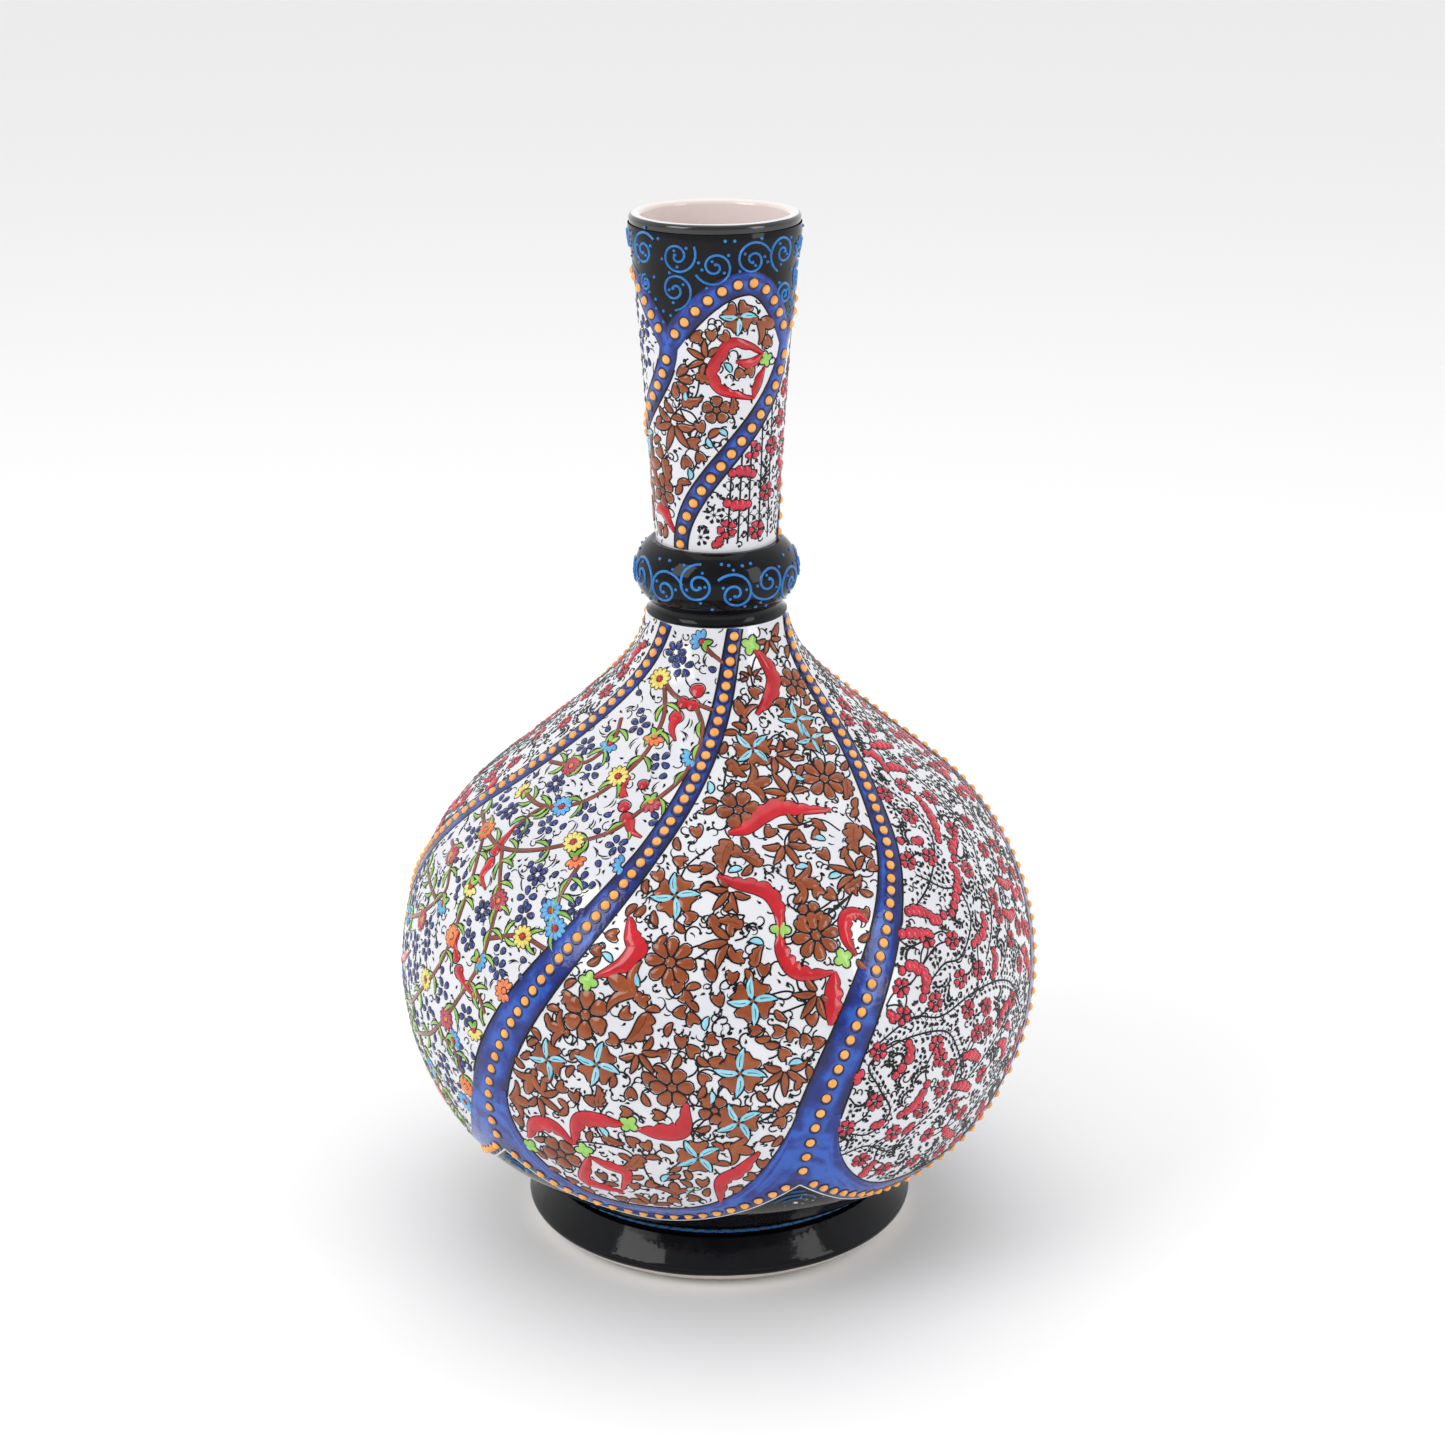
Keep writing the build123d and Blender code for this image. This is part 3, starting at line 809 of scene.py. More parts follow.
def trefoil(field, x, y, turn=0.0, size=3.6):
    """The green knot where cloud bands meet."""
    field.shape("lime", (x, y), turn, lobed(size, 4, depth=0.42), crown=0.5)
    field.line((x, y), turn, [(0, -size * 0.4), (0, 0), (0, size * 0.4)], half=0.2, lifts=(0.4, 0.5, 0.4))
    field.take(x, y, size)


def cloud(field, *points, half=2.1):
    """A red cloud band: thick in the middle, thin at its ends, scalloped on one side."""
    shaped = []
    for number, point in enumerate(points):
        share = number / (len(points) - 1)
        shaped.append((*point, 0.25 + math.sin(math.pi * share) ** 0.8))
    field.far_line(shaped, half, "red", lifts=(0.06, 0.5, 0.75, 0.5, 0.06), ink=0.35, bumps=0.5)


def comma(field, x, y, turn, length=2.6):
    """A short black stroke, thick at one end."""
    at = from_foot(x, y, turn, length)
    field.leaf("line", at, turn, length, 1.0, bend=rng.choice((-1.3, 1.3)), fat=1.7, ink=0, crown=0.12)
    field.take(x, y, length * 0.38)


def hook(field, at, turn, path, half, ball):
    """A black stem with a ball at its end."""
    field.line(at, turn, path, half=half, taper=0.3)
    field.blob("line", *field.local(at, turn, path[-1] + disc(ball, 7)), crown=0.12)


def curl(field, x, y, turn, length, half=0.3):
    """A black hook that ends in a ball."""
    way = rng.choice((-1, 1))
    at = from_foot(x, y, turn, length * 0.55)
    path = tendril(length, rng.uniform(170, 250) * way, power=1.4)
    hook(field, at, turn - 50 * way, path, half, half + 0.28)
    field.take(x, y, length * 0.2)


def whisker(field, x, y, turn, length):
    """A thin black stem with a curl and a comma on it."""
    at = from_foot(x, y, turn, length)
    way = rng.choice((-1, 1))
    field.line(at, turn, tendril(length * 1.5, 240 * way, power=1.6), half=0.34)
    field.leaf("line", at, turn + 40 * way, length * 0.5, 1.1, bend=way, fat=1.6, ink=0, crown=0.12)
    field.take(x, y, length * 0.3)


def sprays(field, x, y, radius):
    """Five curling stems that leave a flower's edge, each ending in a ball."""
    start = rng.uniform(0, 360)
    for k in range(5):
        turn = start + 360 / 5 * k
        way = rng.choice((-1, 1))
        path = tendril(rng.uniform(8, 13), 190 * way, power=1.5)
        hook(field, ahead((x, y), turn, (0.0, radius)), turn + 30 * way, path, 0.36, 0.65)


def stems(field, places, longest=26.0):
    """Thin stems from each flower to a near one, bowed to one side."""
    for number, (x, y) in enumerate(places):
        near = sorted(places, key=lambda p: math.dist(p, (x, y)))[1:3]
        for other in near:
            gap = math.dist((x, y), other)
            if gap > longest or (number + int(gap)) % 2:
                continue
            bow = 0.18 * (1 if number % 2 else -1)
            middle = (x + other[0]) / 2 - (other[1] - y) * bow, (y + other[1]) / 2 + (other[0] - x) * bow
            field.drawn(curve([(x, y), middle, other]), 0.36, (0.04, 0.09, 0.04))


def scatter(field, tries, reach, draw, span, *sizes, **finish):
    """Draws in random free places of the field until its tries are spent."""
    (x_low, x_high), (y_low, y_high) = span
    for _ in range(tries):
        x, y = rng.uniform(x_low, x_high), rng.uniform(y_low, y_high)
        if field.free(x, y, reach):
            draw(field, x, y, rng.uniform(0, 360), *sizes, **finish)


def fill(field, span, density, *rows):
    """Scatters one motif after another; a row gives tries, reach, motif and its sizes."""
    for tries, reach, draw, *sizes in rows:
        scatter(field, int(tries * density), reach, draw, span, *sizes)


# --- The brown panel -------------------------------------------------------------------------------
def brown_fillings(field, span, density=1.0):
    fill(field, span, density, (1200, 5.0, palmette, 10.5), (1500, 2.9, bud, 5.4),
         (2500, 2.1, small_leaf, 6.2), (1500, 1.6, whisker, 5.5), (3000, 1.0, curl, 6.0), (3500, 0.7, comma))


def brown_panel(field):
    """Rosettes, turquoise stars, saz leaves and red cloud bands, placed as the photo shows them."""
    rosettes = [(-20, 160, 8, 8.8), (17, 227, 8, 8.6), (28, 167.5, 8, 8.8), (6.5, 114.5, 6, 7.6),
                (-38, 138, 6, 8.8), (-30, 77, 5, 8.0), (10.5, 267, 6, 6.2), (-16.5, 219, 6, 7.6),
                (22, 175, 5, 5.0), (25, 106, 5, 5.5)]
    stars = [(-24, 120.5, 0, 9), (-43, 118.5, 20, 8), (28, 120.5, 5, 9.5), (17.5, 146.5, 15, 9),
             (35, 101, 40, 8.5), (23, 85, 45, 9), (7.5, 253, 0, 7.5), (12.5, 244, 15, 6.5),
             (-12, 244, 50, 8), (-31, 184, 20, 9)]
    palmettes = [(-14.5, 135, 200, 15), (-45, 131, 80, 9), (-29, 150, 60, 14), (38.5, 144, 140, 12),
                 (44, 117, 180, 12), (49, 106, 0, 8), (3, 78, 190, 13), (1, 227, 20, 12),
                 (-22, 236, 160, 10), (-24, 204, 110, 15), (-4, 200, 0, 10), (4, 200, 200, 12),
                 (25, 205, 100, 14), (32, 189, 60, 12), (-14.5, 184, 140, 11), (-3, 177, 20, 10),
                 (-7.5, 167, 100, 13), (9, 162, 30, 9), (5, 210, 80, 9), (-7.5, 245, 10, 6),
                 (1.5, 284, 200, 8), (-8.5, 274, 0, 5), (-14.5, 260, 10, 9), (-11.5, 87, 200, 9),
                 (36, 180, 240, 10), (-38, 101, 240, 12), (-14, 106, 300, 9), (13, 66, 0, 9)]
    buds = [(-3, 156, 10), (5, 155, -10), (-7, 148, 60), (5, 147, 20), (11, 133, 290), (25, 136, 90),
            (34, 135, 80), (46, 131, 200), (1, 132, 0), (-23, 130.5, 70), (-27, 106, 10), (-7, 111, 180),
            (-6, 103, 90), (6, 103, 90), (16, 118.5, 220), (21, 110, 30), (24, 71, 0), (42, 74, 60),
            (46.5, 81, 0), (36, 67, 120), (-2, 66, 0), (19.5, 61, 90), (-28, 61, 230), (-14, 69, 10),
            (4, 89, 20), (-9, 200, 30), (45, 172, 0)]
    drops = [(47.5, 124, 60), (18, 204.5, 30), (-11, 93, 0), (17.5, 66.5, 0), (24, 110.5, 320),
             (-27, 152, 50), (6.5, 138.5, 20), (9.5, 73, 0), (-13, 195.5, 70), (11.5, 194.5, 300),
             (-26.5, 228, 330), (27, 189, 60), (6, 229, 80), (-41, 160, 20), (8, 168, 40)]
    stems(field, [r[:2] for r in rosettes] + [s[:2] for s in stars] + [p[:2] for p in palmettes])
    for half, *points in (
            (2.1, (-6, 283), (-2, 278), (0.5, 271), (-3, 264), (-9, 258)),
            (2.6, (-19, 209.5), (-13, 211), (-7.5, 216), (-2, 218.5), (5, 217), (20, 214)),
            (2.1, (-19, 192), (-11, 189), (-3, 187), (3, 184), (9, 177.5), (13, 170)),
            (2.1, (13, 170), (17, 164), (25, 157), (33, 154), (43, 153.5)),
            (2.4, (43, 154), (46, 148), (50, 141), (53, 135)),
            (2.6, (-43.5, 175), (-39, 168), (-35, 164), (-36, 158), (-43, 152)),
            (1.9, (48, 169), (41, 173), (37, 172), (41, 165), (49, 158)),
            (2.4, (-6, 97.5), (-15, 98), (-23, 96), (-24, 84)),
            (2.4, (-24, 84), (-33, 90.5), (-41, 89), (-44, 81)),
            (2.6, (0, 96), (8, 95.5), (16, 97.5), (14, 109)),
            (1.7, (-18, 79), (-11, 76), (-4, 73), (-7, 62.5)),
            (1.7, (-18, 79), (-20, 73), (-22, 64), (-14, 61.5), (-7, 61)),
            (2.1, (45, 87), (38, 78), (31, 72), (29, 59))):
        cloud(field, *points, half=half)
    for x, y in [(-44.5, 150), (44, 158), (-4, 98), (-20, 82), (-44, 76), (13, 171), (-7.5, 285)]:
        trefoil(field, x, y, rng.uniform(0, 90))
    for x, y, size, _ in [*rosettes, *[(s[0], s[1], s[3], 0) for s in stars]]:
        sprays(field, x, y, size * 0.9)
    for x, y, petals, radius in rosettes:
        rosette(field, x, y, petals, radius, turn=rng.uniform(0, 45))
    for x, y, turn, radius in stars:
        star(field, x, y, turn, radius)
    for x, y, turn, size in palmettes:
        palmette(field, x, y, turn, size)
    for x, y, turn in buds:
        bud(field, x, y, turn, 5.2)
    for x, y, turn in drops:
        small_leaf(field, x, y, turn, 5.6, colour="turquoise")
    brown_fillings(field, ((-56, 56), (52, 291)))


# --- The blue panel --------------------------------------------------------------------------------
def navy_cluster(field, x, y, turn=0.0, petals=5):
    """A few loose navy petals round a gap, each with its own outline."""
    field.petals("navy", (x, y), turn, petals, 1.25, 2.9, 2.0, lean=0.3, ink=0.2, gap=0.05)
    field.take(x, y, 4.0)


def daisy(field, x, y, colour="yellow", turn=0.0, radius=4.5, half=False):
    """A many-petalled daisy, or half of one standing in a green cup."""
    number = 11
    core = radius * 0.27
    width = 2 * math.pi * radius * 0.78 / number
    for k in range(number):
        angle = turn + 360 / number * k
        if half and abs((angle - turn + 180) % 360 - 180) > 85:
            continue
        outline = turned(ellipse(radius - core, width, count=9, base=core), angle)
        field.shape(colour, (x, y), 0, outline, crown=0.4, ink=0.17, gap=0.0)
    eye = "red" if colour in ("yellow", "sky") else "orange"
    field.shape(eye, (x, y), 0, disc(core), crown=0.55, ink=0.2)
    if half:
        field.leaf("leaf", (x, y), turn + 160, radius * 0.9, 2.0, bend=0.6)
        field.leaf("leaf", (x, y), turn - 160, radius * 0.9, 2.0, bend=-0.6)
    field.take(x, y, radius * 0.95)


def leaf_pair(field, x, y, heading):
    """Two narrow green leaves and thin black ones, swept along a branch."""
    size = 8.0
    for side in (-1, 1):
        bend = side * 1.1
        field.leaf("leaf", (x, y), heading + side * 68, size, 1.35, bend=bend, fat=0.75, ink=0.2)
        field.leaf("line", (x, y), heading + side * 92, size * 0.8, 0.6, bend=bend, ink=0, crown=0.1)
        for reach in (0.3, 0.7):
            field.take(*ahead((x, y), heading + side * 40, (0.0, size * reach)), 0.9)


def branch(field, *points, leaves):
    """A russet branch with a pair of leaves every so many millimetres."""
    path = curve(points, 1.0)
    walked = walk(*path.T)
    for place in np.arange(leaves * 0.6, walked[-1] - 2, leaves):
        i = int(np.searchsorted(walked, place))
        step = path[min(i + 1, len(path) - 1)] - path[i - 1]
        leaf_pair(field, *path[i], lean_of(step))
    field.far_line(points, 0.72, "russet", lifts=(0.1, 0.34, 0.1), ink=0.24, room=0.3)


def drop_chain(field, *drops):
    """Red swelling drops strung along a line; each is x, y and its radius."""
    for x, y, radius in drops:
        field.shape("red", (x, y), rng.uniform(0, 90), lobed(radius, 3, depth=0.12), crown=0.6, ink=0.22)
        field.take(x, y, radius)


def tail(field, *points, half):
    """A red stroke, broad at its start and drawn out to a point."""
    shaped = [(*point, 1.0 - 0.85 * number / (len(points) - 1)) for number, point in enumerate(points)]
    field.far_line(shaped, half, "red", lifts=(0.08, 0.5, 0.6, 0.5, 0.08), ink=0.24)


def sickle(field, x, y, turn):
    """Thin black strokes lying side by side, as fill between branches."""
    length = 6.2
    at = from_foot(x, y, turn, length)
    field.leaf("line", at, turn, length, 0.62, bend=1.3, fat=0.8, ink=0, crown=0.1)
    field.leaf("line", (at[0] + 1.2, at[1] - 0.6), turn + 12, length * 0.7, 0.5, bend=1.2, ink=0, crown=0.1)
    field.take(x, y, length * 0.33)


def any_daisy(field, x, y, turn):
    """A whole daisy of a colour picked at random."""
    daisy(field, x, y, rng.choice(("yellow", "sky", "orange", "plum")), turn)


def navy_pair(field, x, y, turn=0.0):
    """One or two navy buds on a thin curved stalk."""
    field.petals("navy", (x, y), turn, 1, 0.3, 2.5, 1.9, lean=0.3, ink=0.2, gap=0.05)
    field.line((x, y), turn + 170, tendril(4.0, 90), half=0.25)
    field.take(x, y, 1.9)


def blue_fillings(field, span, density=1.0):
    fill(field, span, density, (60, 4.6, any_daisy), (450, 3.8, navy_cluster), (1200, 2.2, navy_pair),
         (1500, 1.5, sickle), (2500, 1.1, curl, 6.5, 0.22), (2500, 0.8, comma))


def blue_panel(field):
    """Russet branches with daisies, navy clusters and red buds, placed as the photo shows them."""
    for leaves, *points in (
            (20, (5, 285), (9, 282), (14, 279)),
            (20, (-5, 270), (1, 266), (6, 264)),
            (20, (12, 263), (21, 260)),
            (12, (12, 262), (20, 253), (26, 241), (28, 229), (26, 218), (24, 206), (13, 196), (3, 190),
             (-9, 187), (-25, 189), (-39, 193)),
            (12, (-4, 268), (2, 258), (5, 249), (7, 239), (6, 226), (3, 217), (-3, 211)),
            (9, (-3, 211), (-12, 206), (-13, 196)),
            (9, (-4, 211), (-14, 208), (-26, 209)),
            (9, (-14, 252), (-10, 243), (-12, 232), (-20, 227), (-31, 224)),
            (12, (-8, 187), (5, 177), (15, 169), (26, 156), (33, 145), (35, 132), (32, 118), (24, 107),
             (8, 99)),
            (12, (-22, 186), (-8, 173), (3, 160), (10, 149), (14, 138), (12, 127), (2, 112), (-14, 104)),
            (9, (28, 191), (35, 178), (44, 168), (50, 163)),
            (9, (27, 155), (38, 160), (52, 158)),
            (9, (34, 137), (44, 133), (51, 128)),
            (9, (30, 110), (43, 107), (50, 95)),
            (12, (-40, 176), (-30, 174), (-22, 168), (-14, 160), (-20, 146), (-34, 138), (-46, 139)),
            (9, (-16, 156), (-30, 158), (-44, 160)),
            (12, (4, 112), (-4, 96), (-18, 86), (-34, 88), (-48, 100)),
            (9, (-18, 86), (-22, 72), (-10, 62)),
            (9, (10, 99), (22, 88), (30, 74), (18, 63))):
        branch(field, *points, leaves=leaves)
    drop_chain(field, (9, 268.5, 2.7), (6.5, 263, 2.4), (10.5, 262.5, 2.4), (7.5, 257, 2.6))
    tail(field, (7.5, 257), (9, 252), (14, 247), half=2.0)
    drop_chain(field, (18.5, 217.5, 2.3), (24, 213, 2.5), (17, 227.5, 1.9))
    tail(field, (15, 221), (11, 225), (9.5, 230), half=1.6)
    tail(field, (26, 212), (31, 208), (37, 206), half=2.2)
    tail(field, (-11, 188), (-12, 192), (-13.5, 197), half=2.2)
    drop_chain(field, (-10, 185, 2.5), (-6, 180, 2.3))
    tail(field, (-6, 180), (-3, 174), (5, 170.5), half=2.2)
    drop_chain(field, (20, 143, 2.3), (26.5, 138.5, 2.5))
    tail(field, (20, 143), (15, 147), (12, 152), half=1.6)
    tail(field, (27, 138), (34, 135), (43, 132), half=2.0)
    drop_chain(field, (-24, 121, 2.4), (-29, 117, 2.4))
    tail(field, (-24, 121), (-18, 124), (-13, 130), half=1.7)
    tail(field, (-30, 116), (-36, 113), (-42, 115), half=1.9)
    whole = {"yellow": [(-8, 271), (5, 229), (16, 199), (39, 160), (10, 127), (-44, 128), (2, 78)],
             "sky": [(25, 241), (-4, 211), (43, 194), (47, 166), (38, 172), (-34, 138), (20, 88), (46, 84)],
             "orange": [(-25, 189), (10, 149), (52, 139), (50, 93), (-34, 88), (5, 61)],
             "plum": [(-18, 227), (15, 169), (-30, 173), (33, 118), (-16, 145), (-22, 73)]}
    for colour, places in whole.items():
        for x, y in places:
            daisy(field, x, y, colour, rng.uniform(0, 40))
    halves = [(3, 287, "sky", 60), (5, 248, "orange", 180), (-10, 241, "sky", 180), (24, 193, "orange", 210),
              (-9, 157, "sky", 170), (41, 111, "sky", 300), (31, 146, "sky", 250), (26, 221, "plum", 200),
              (-28, 209, "yellow", 90), (-3, 169, "yellow", 180), (50, 120, "yellow", 200)]
    for x, y, colour, turn in halves:
        daisy(field, x, y, colour, turn, half=True)
    clusters = [(-1, 277), (-6, 282), (-4, 251), (15, 238), (-7, 228), (-17, 218), (36, 214), (7, 212),
                (-1, 202), (-24, 200), (-9, 197), (-29, 184), (18, 183), (24, 174), (35, 185), (46, 175),
                (-10, 168), (13, 163), (42, 146), (24, 129), (18, 116), (43, 124), (35, 97), (37, 88),
                (46, 103), (-34, 200)]
    for x, y in clusters:
        navy_cluster(field, x, y, rng.uniform(0, 72), rng.choice((4, 5, 6)))
    blue_fillings(field, ((-56, 56), (52, 291)))


# --- The red panel ---------------------------------------------------------------------------------
def clover(field, x, y, turn=0.0, size=2.3):
    """Two or three black drops side by side."""
    for way in (-1, 0, 1):
        field.leaf("line", (x, y), turn + 50 * way, size, size * 0.55, bend=0.4 * way, fat=1.5, ink=0,
                   crown=0.12)
    field.take(x, y, size * 0.6)


def burst(field, x, y, turn):
    """A black blossom of seven loose drops, each on a short stalk."""
    size = 3.5
    for k in range(7):
        heading = turn + 360 / 7 * k
        foot = ahead((x, y), heading, (0.0, 0.9))
        field.leaf("line", foot, heading, size - 0.9, 1.6, fat=1.6, ink=0, crown=0.12)
        field.line((x, y), heading, [(0, 0), (0, 0.6), (0, 1.2)], half=0.2)
    field.take(x, y, size * 0.8)


def small_flower(field, x, y, turn=0.0, radius=3.8):
    """Five separate notched petals round an inked eye."""
    field.petals("crimson", (x, y), turn, 5, 1.0, radius - 1.0, radius * 0.66, lean=0.45, notch=0.16,
                 ink=0.2, gap=0.0, crown=0.45)
    field.blob("line", *field.local((x, y), 0, disc(0.5, 6)), crown=0.1)
    field.take(x, y, radius)


def half_flower(field, x, y, turn, radius=3.6):
    """Three petals of a small flower seen from its side."""
    for k in (-1, 0, 1):
        outline = turned(ellipse(radius, radius * 0.75, base=0.4, notch=0.2), 48 * k)
        field.shape("crimson", (x, y), turn, outline, ink=0.2, gap=0.0)
    field.take(x, y, radius * 0.8)


def blob_chain(field, *points):
    """Round red blobs touching along a short curve, the largest in its middle."""
    radius = 2.1
    path = curve(points, 0.5)
    walked = walk(*path.T)
    number = max(3, int(round(walked[-1] / (radius * 1.45))) + 1)
    for place in np.linspace(0, walked[-1], number):
        i = min(int(np.searchsorted(walked, place)), len(path) - 1)
        size = radius * (1.1 - 0.35 * abs(2 * place / walked[-1] - 1))
        field.shape("crimson", tuple(path[i]), 0, disc(size), crown=0.6, ink=0.22, gap=0.0)
        field.take(*path[i], size)


def blob_bow(field, x, y, turn):
    """Red blobs in a short bow."""
    blob_chain(field, *(turned(np.array([[-4.0, -1.0], [0.0, 0.9], [4.0, -1.0]]), turn) + (x, y)))


def vine(field, *points, twigs=3.0):
    """A black stem with leaflets on both sides and now and then a curl."""
    path = curve(points, 0.8)
    field.drawn(path, 0.38, (0.06, 0.13, 0.06))
    walked = walk(*path.T)
    for place in np.arange(1.5, walked[-1], twigs):
        i = int(np.searchsorted(walked, place))
        step = path[min(i + 1, len(path) - 1)] - path[i - 1]
        along = lean_of(step)
        if i % 4 == 0:
            side = rng.choice((-1, 1))
            field.line(tuple(path[i]), along + 40 * side, tendril(7.0, 200 * side, power=1.4), half=0.3)
        for side in (-1, 1):
            heading = along + 50 * side
            tip = ahead(path[i], heading, (0.0, 1.7))
            if field.free(*tip, 0.8):
                field.line(tuple(path[i]), heading, [(0, 0), (-0.2 * side, 0.9), (0, 1.8)], half=0.2)
                field.leaf("line", tuple(tip), heading, 2.4, 1.4, bend=0.5 * side, fat=1.4, ink=0, crown=0.12)
                field.take(*tip, 0.9)
    for x, y in path[::3]:
        field.take(x, y, 0.5)


def sprig(field, x, y, turn):
    """A short black vine with paired leaflets."""
    path = turned(tendril(9.5, rng.choice((-140, 140)), power=1.3), turn) + (x, y)
    if not all(field.free(*path[i], 0.75) for i in (0, len(path) // 2, -1)):
        return
    field.line((x, y), turn, turned(path - (x, y), -turn), half=0.36, taper=0.3)
    for i in range(2, len(path), 2):
        step = path[i] - path[i - 1]
        along = lean_of(step)
        for side in (-1, 1):
            field.leaf("line", tuple(path[i]), along + 52 * side, 2.3, 1.25, bend=0.5 * side, fat=1.4,
                       ink=0, crown=0.12)
    for place in path[::2]:
        field.take(*place, 1.0)


def spiral(field, x, y, turn, size):
    """A coiled black stem with clovers round it."""
    t = np.linspace(0, 1, 22)
    way = 1 if (x + y) % 2 < 1 else -1
    heading = math.radians(turn) + way * 2 * math.pi * 1.5 * t
    reach = size * (1 - 0.8 * t)
    places = np.stack([x + reach * np.cos(heading), y + reach * np.sin(heading)], axis=-1)
    field.drawn(places, 0.27, (0.06, 0.13, 0.06))
    for i in range(0, 15, 2):
        clover(field, *places[i], math.degrees(heading[i]) - 90, size=1.8)
    field.take(x, y, size)


def red_fillings(field, span, density=1.0):
    fill(field, span, density, (300, 3.6, small_flower), (120, 4.6, spiral, 4.4), (160, 2.9, blob_bow),
         (500, 2.8, burst), (4500, 0.8, sprig), (500, 2.3, half_flower, 3.2), (1500, 1.5, clover),
         (3500, 0.95, curl, 5.5), (1500, 0.7, comma))


def red_panel(field):
    """Small crimson flowers, strings of blobs and black vines, placed as the photo shows them."""
    flowers = [(-12, 250), (-19, 245), (-9, 237), (-27, 234), (-2, 216), (-20, 212), (-33, 213),
               (-29, 201), (-9, 202), (-42, 186), (-30, 184), (-9, 188), (7, 185), (-38, 157),
               (-48, 143), (-53, 138), (-44, 133), (-29, 134), (-24, 153), (-5, 138), (-8, 126),
               (5, 123), (2, 115), (-50, 122), (-22, 118), (-10, 106), (-55, 106), (-43, 102), (-28, 85),
               (-38, 75), (-51, 93), (-24, 65), (15, 95), (1, 87), (-8, 77), (10, 80), (28, 118),
               (22, 140), (34, 128), (8, 158), (26, 163), (18, 205), (10, 225), (2, 250), (8, 268)]
    chains = [[(-18, 231), (-12, 229), (-6, 226)], [(-22, 221), (-16, 220), (-11, 216)],
              [(-17, 205), (-17, 200), (-18, 194), (-21, 188)], [(-19, 177), (-17, 172), (-24, 162)],
              [(-50, 169), (-43, 168), (-37, 165)], [(-54, 162), (-47, 161), (-38, 159)],
              [(-40, 148), (-36, 143), (-36, 137)], [(-37, 122), (-34, 117), (-38, 111)],
              [(-20, 103), (-22, 96), (-28, 93)], [(-2, 108), (3, 107), (8, 104)],
              [(-3, 97), (3, 95), (8, 92)], [(-3, 155), (-2, 150), (-10, 148)],
              [(-31, 71), (-33, 67), (-33, 63)], [(16, 161), (24, 157), (29, 156)],
              [(17, 150), (23, 147), (28, 147)], [(2, 76), (5, 72), (12, 67)],
              [(24, 104), (30, 101), (31, 96)]]
    for points in (
            ((-56, 122), (-40, 131), (-24, 128), (-8, 131), (10, 130), (26, 124), (40, 112)),
            ((-53, 92), (-40, 88), (-34, 96), (-44, 108), (-52, 118), (-40, 124), (-20, 122),
             (-8, 112), (0, 100)),
            ((-48, 80), (-38, 82), (-26, 76), (-18, 84), (-8, 90), (6, 98), (22, 110), (38, 122)),
            ((-36, 140), (-28, 146), (-18, 146), (-12, 156), (-18, 168), (-28, 172), (-40, 180)),
            ((-46, 168), (-34, 176), (-24, 190), (-26, 206), (-34, 222)),
            ((0, 140), (4, 152), (0, 166), (2, 180), (-2, 196), (-8, 212), (-14, 228), (-14, 242), (-8, 258)),
            ((14, 130), (20, 146), (18, 166), (16, 184), (10, 204), (2, 226), (0, 244)),
            ((-14, 268), (-10, 278), (-6, 287)),
            ((4, 290), (0, 280), (2, 262), (6, 250)),
            ((0, 60), (12, 72), (24, 82), (32, 96), (44, 108))):
        vine(field, *points)
    stems(field, flowers + [points[0] for points in chains], longest=24.0)
    for points in chains:
        blob_chain(field, *points)
    for x, y in flowers:
        if field.inside(x, y, 3.0):
            small_flower(field, x, y, rng.uniform(0, 72))
    for x, y, turn in [(-42, 196, 150), (-33, 193, 170), (-53, 113, 60), (-22, 86, 220), (-38, 93, 190)]:
        half_flower(field, x, y, turn)
    red_fillings(field, ((-58, 58), (52, 291)))


# --- Azure scrolls on the black glaze ----------------------------------------------------------------
RAISED = (0.06, 0.5, 0.62, 0.5, 0.06)
COLLAR_COILS, WAVES = 14, 92


def dot(field, x, y, _=0.0, radius=0.65):
    """A raised azure dot; being round, it has no use for the turn that motifs are given."""
    field.blob("azure", *field.local((x, y), 0, disc(radius, 8)), crown=0.6)
    field.take(x, y, radius)


def scroll(field, x, y, turn, size, half=0.52):
    """A trailed coil with dots along its outer turn."""
    t = np.linspace(0, 1, 40)
    way = 1 if int(x + y) % 2 else -1
    heading = math.radians(turn) + way * 2 * math.pi * 1.65 * t
    reach = size * (1 - 0.88 * t**0.8)
    places = np.stack([x + reach * np.cos(heading), y + reach * np.sin(heading)], axis=-1)
    field.drawn(places, half, RAISED, "azure")
    dot(field, *places[-1], radius=half + 0.3)
    for i in range(3, 24, 5):
        out = np.array([math.cos(heading[i]), math.sin(heading[i])]) * (1.6 if i % 2 else -1.7)
        dot(field, *(places[i] + out))
    field.take(x, y, size + 0.4)


def scroll_zone(field, span):
    """Coils packed over a black zone, the large ones first, and dots in what is left."""
    for size in (7.0, 5.0, 3.4):
        scatter(field, 900, size + 0.5, scroll, span, size)
    scatter(field, 3000, 1.5, dot, span)


def wall_field(wall, group, low, high):
    """A field right round a wall, between two heights that may change with the angle."""
    field = Field(wall, lambda s: 0 * s, group)

    def inside(x, y, reach):
        angle = math.degrees(x / wall.radius(y))
        return abs(angle) < 180 and low(angle) + reach < y < high(angle) - reach
    field.inside = inside
    return field


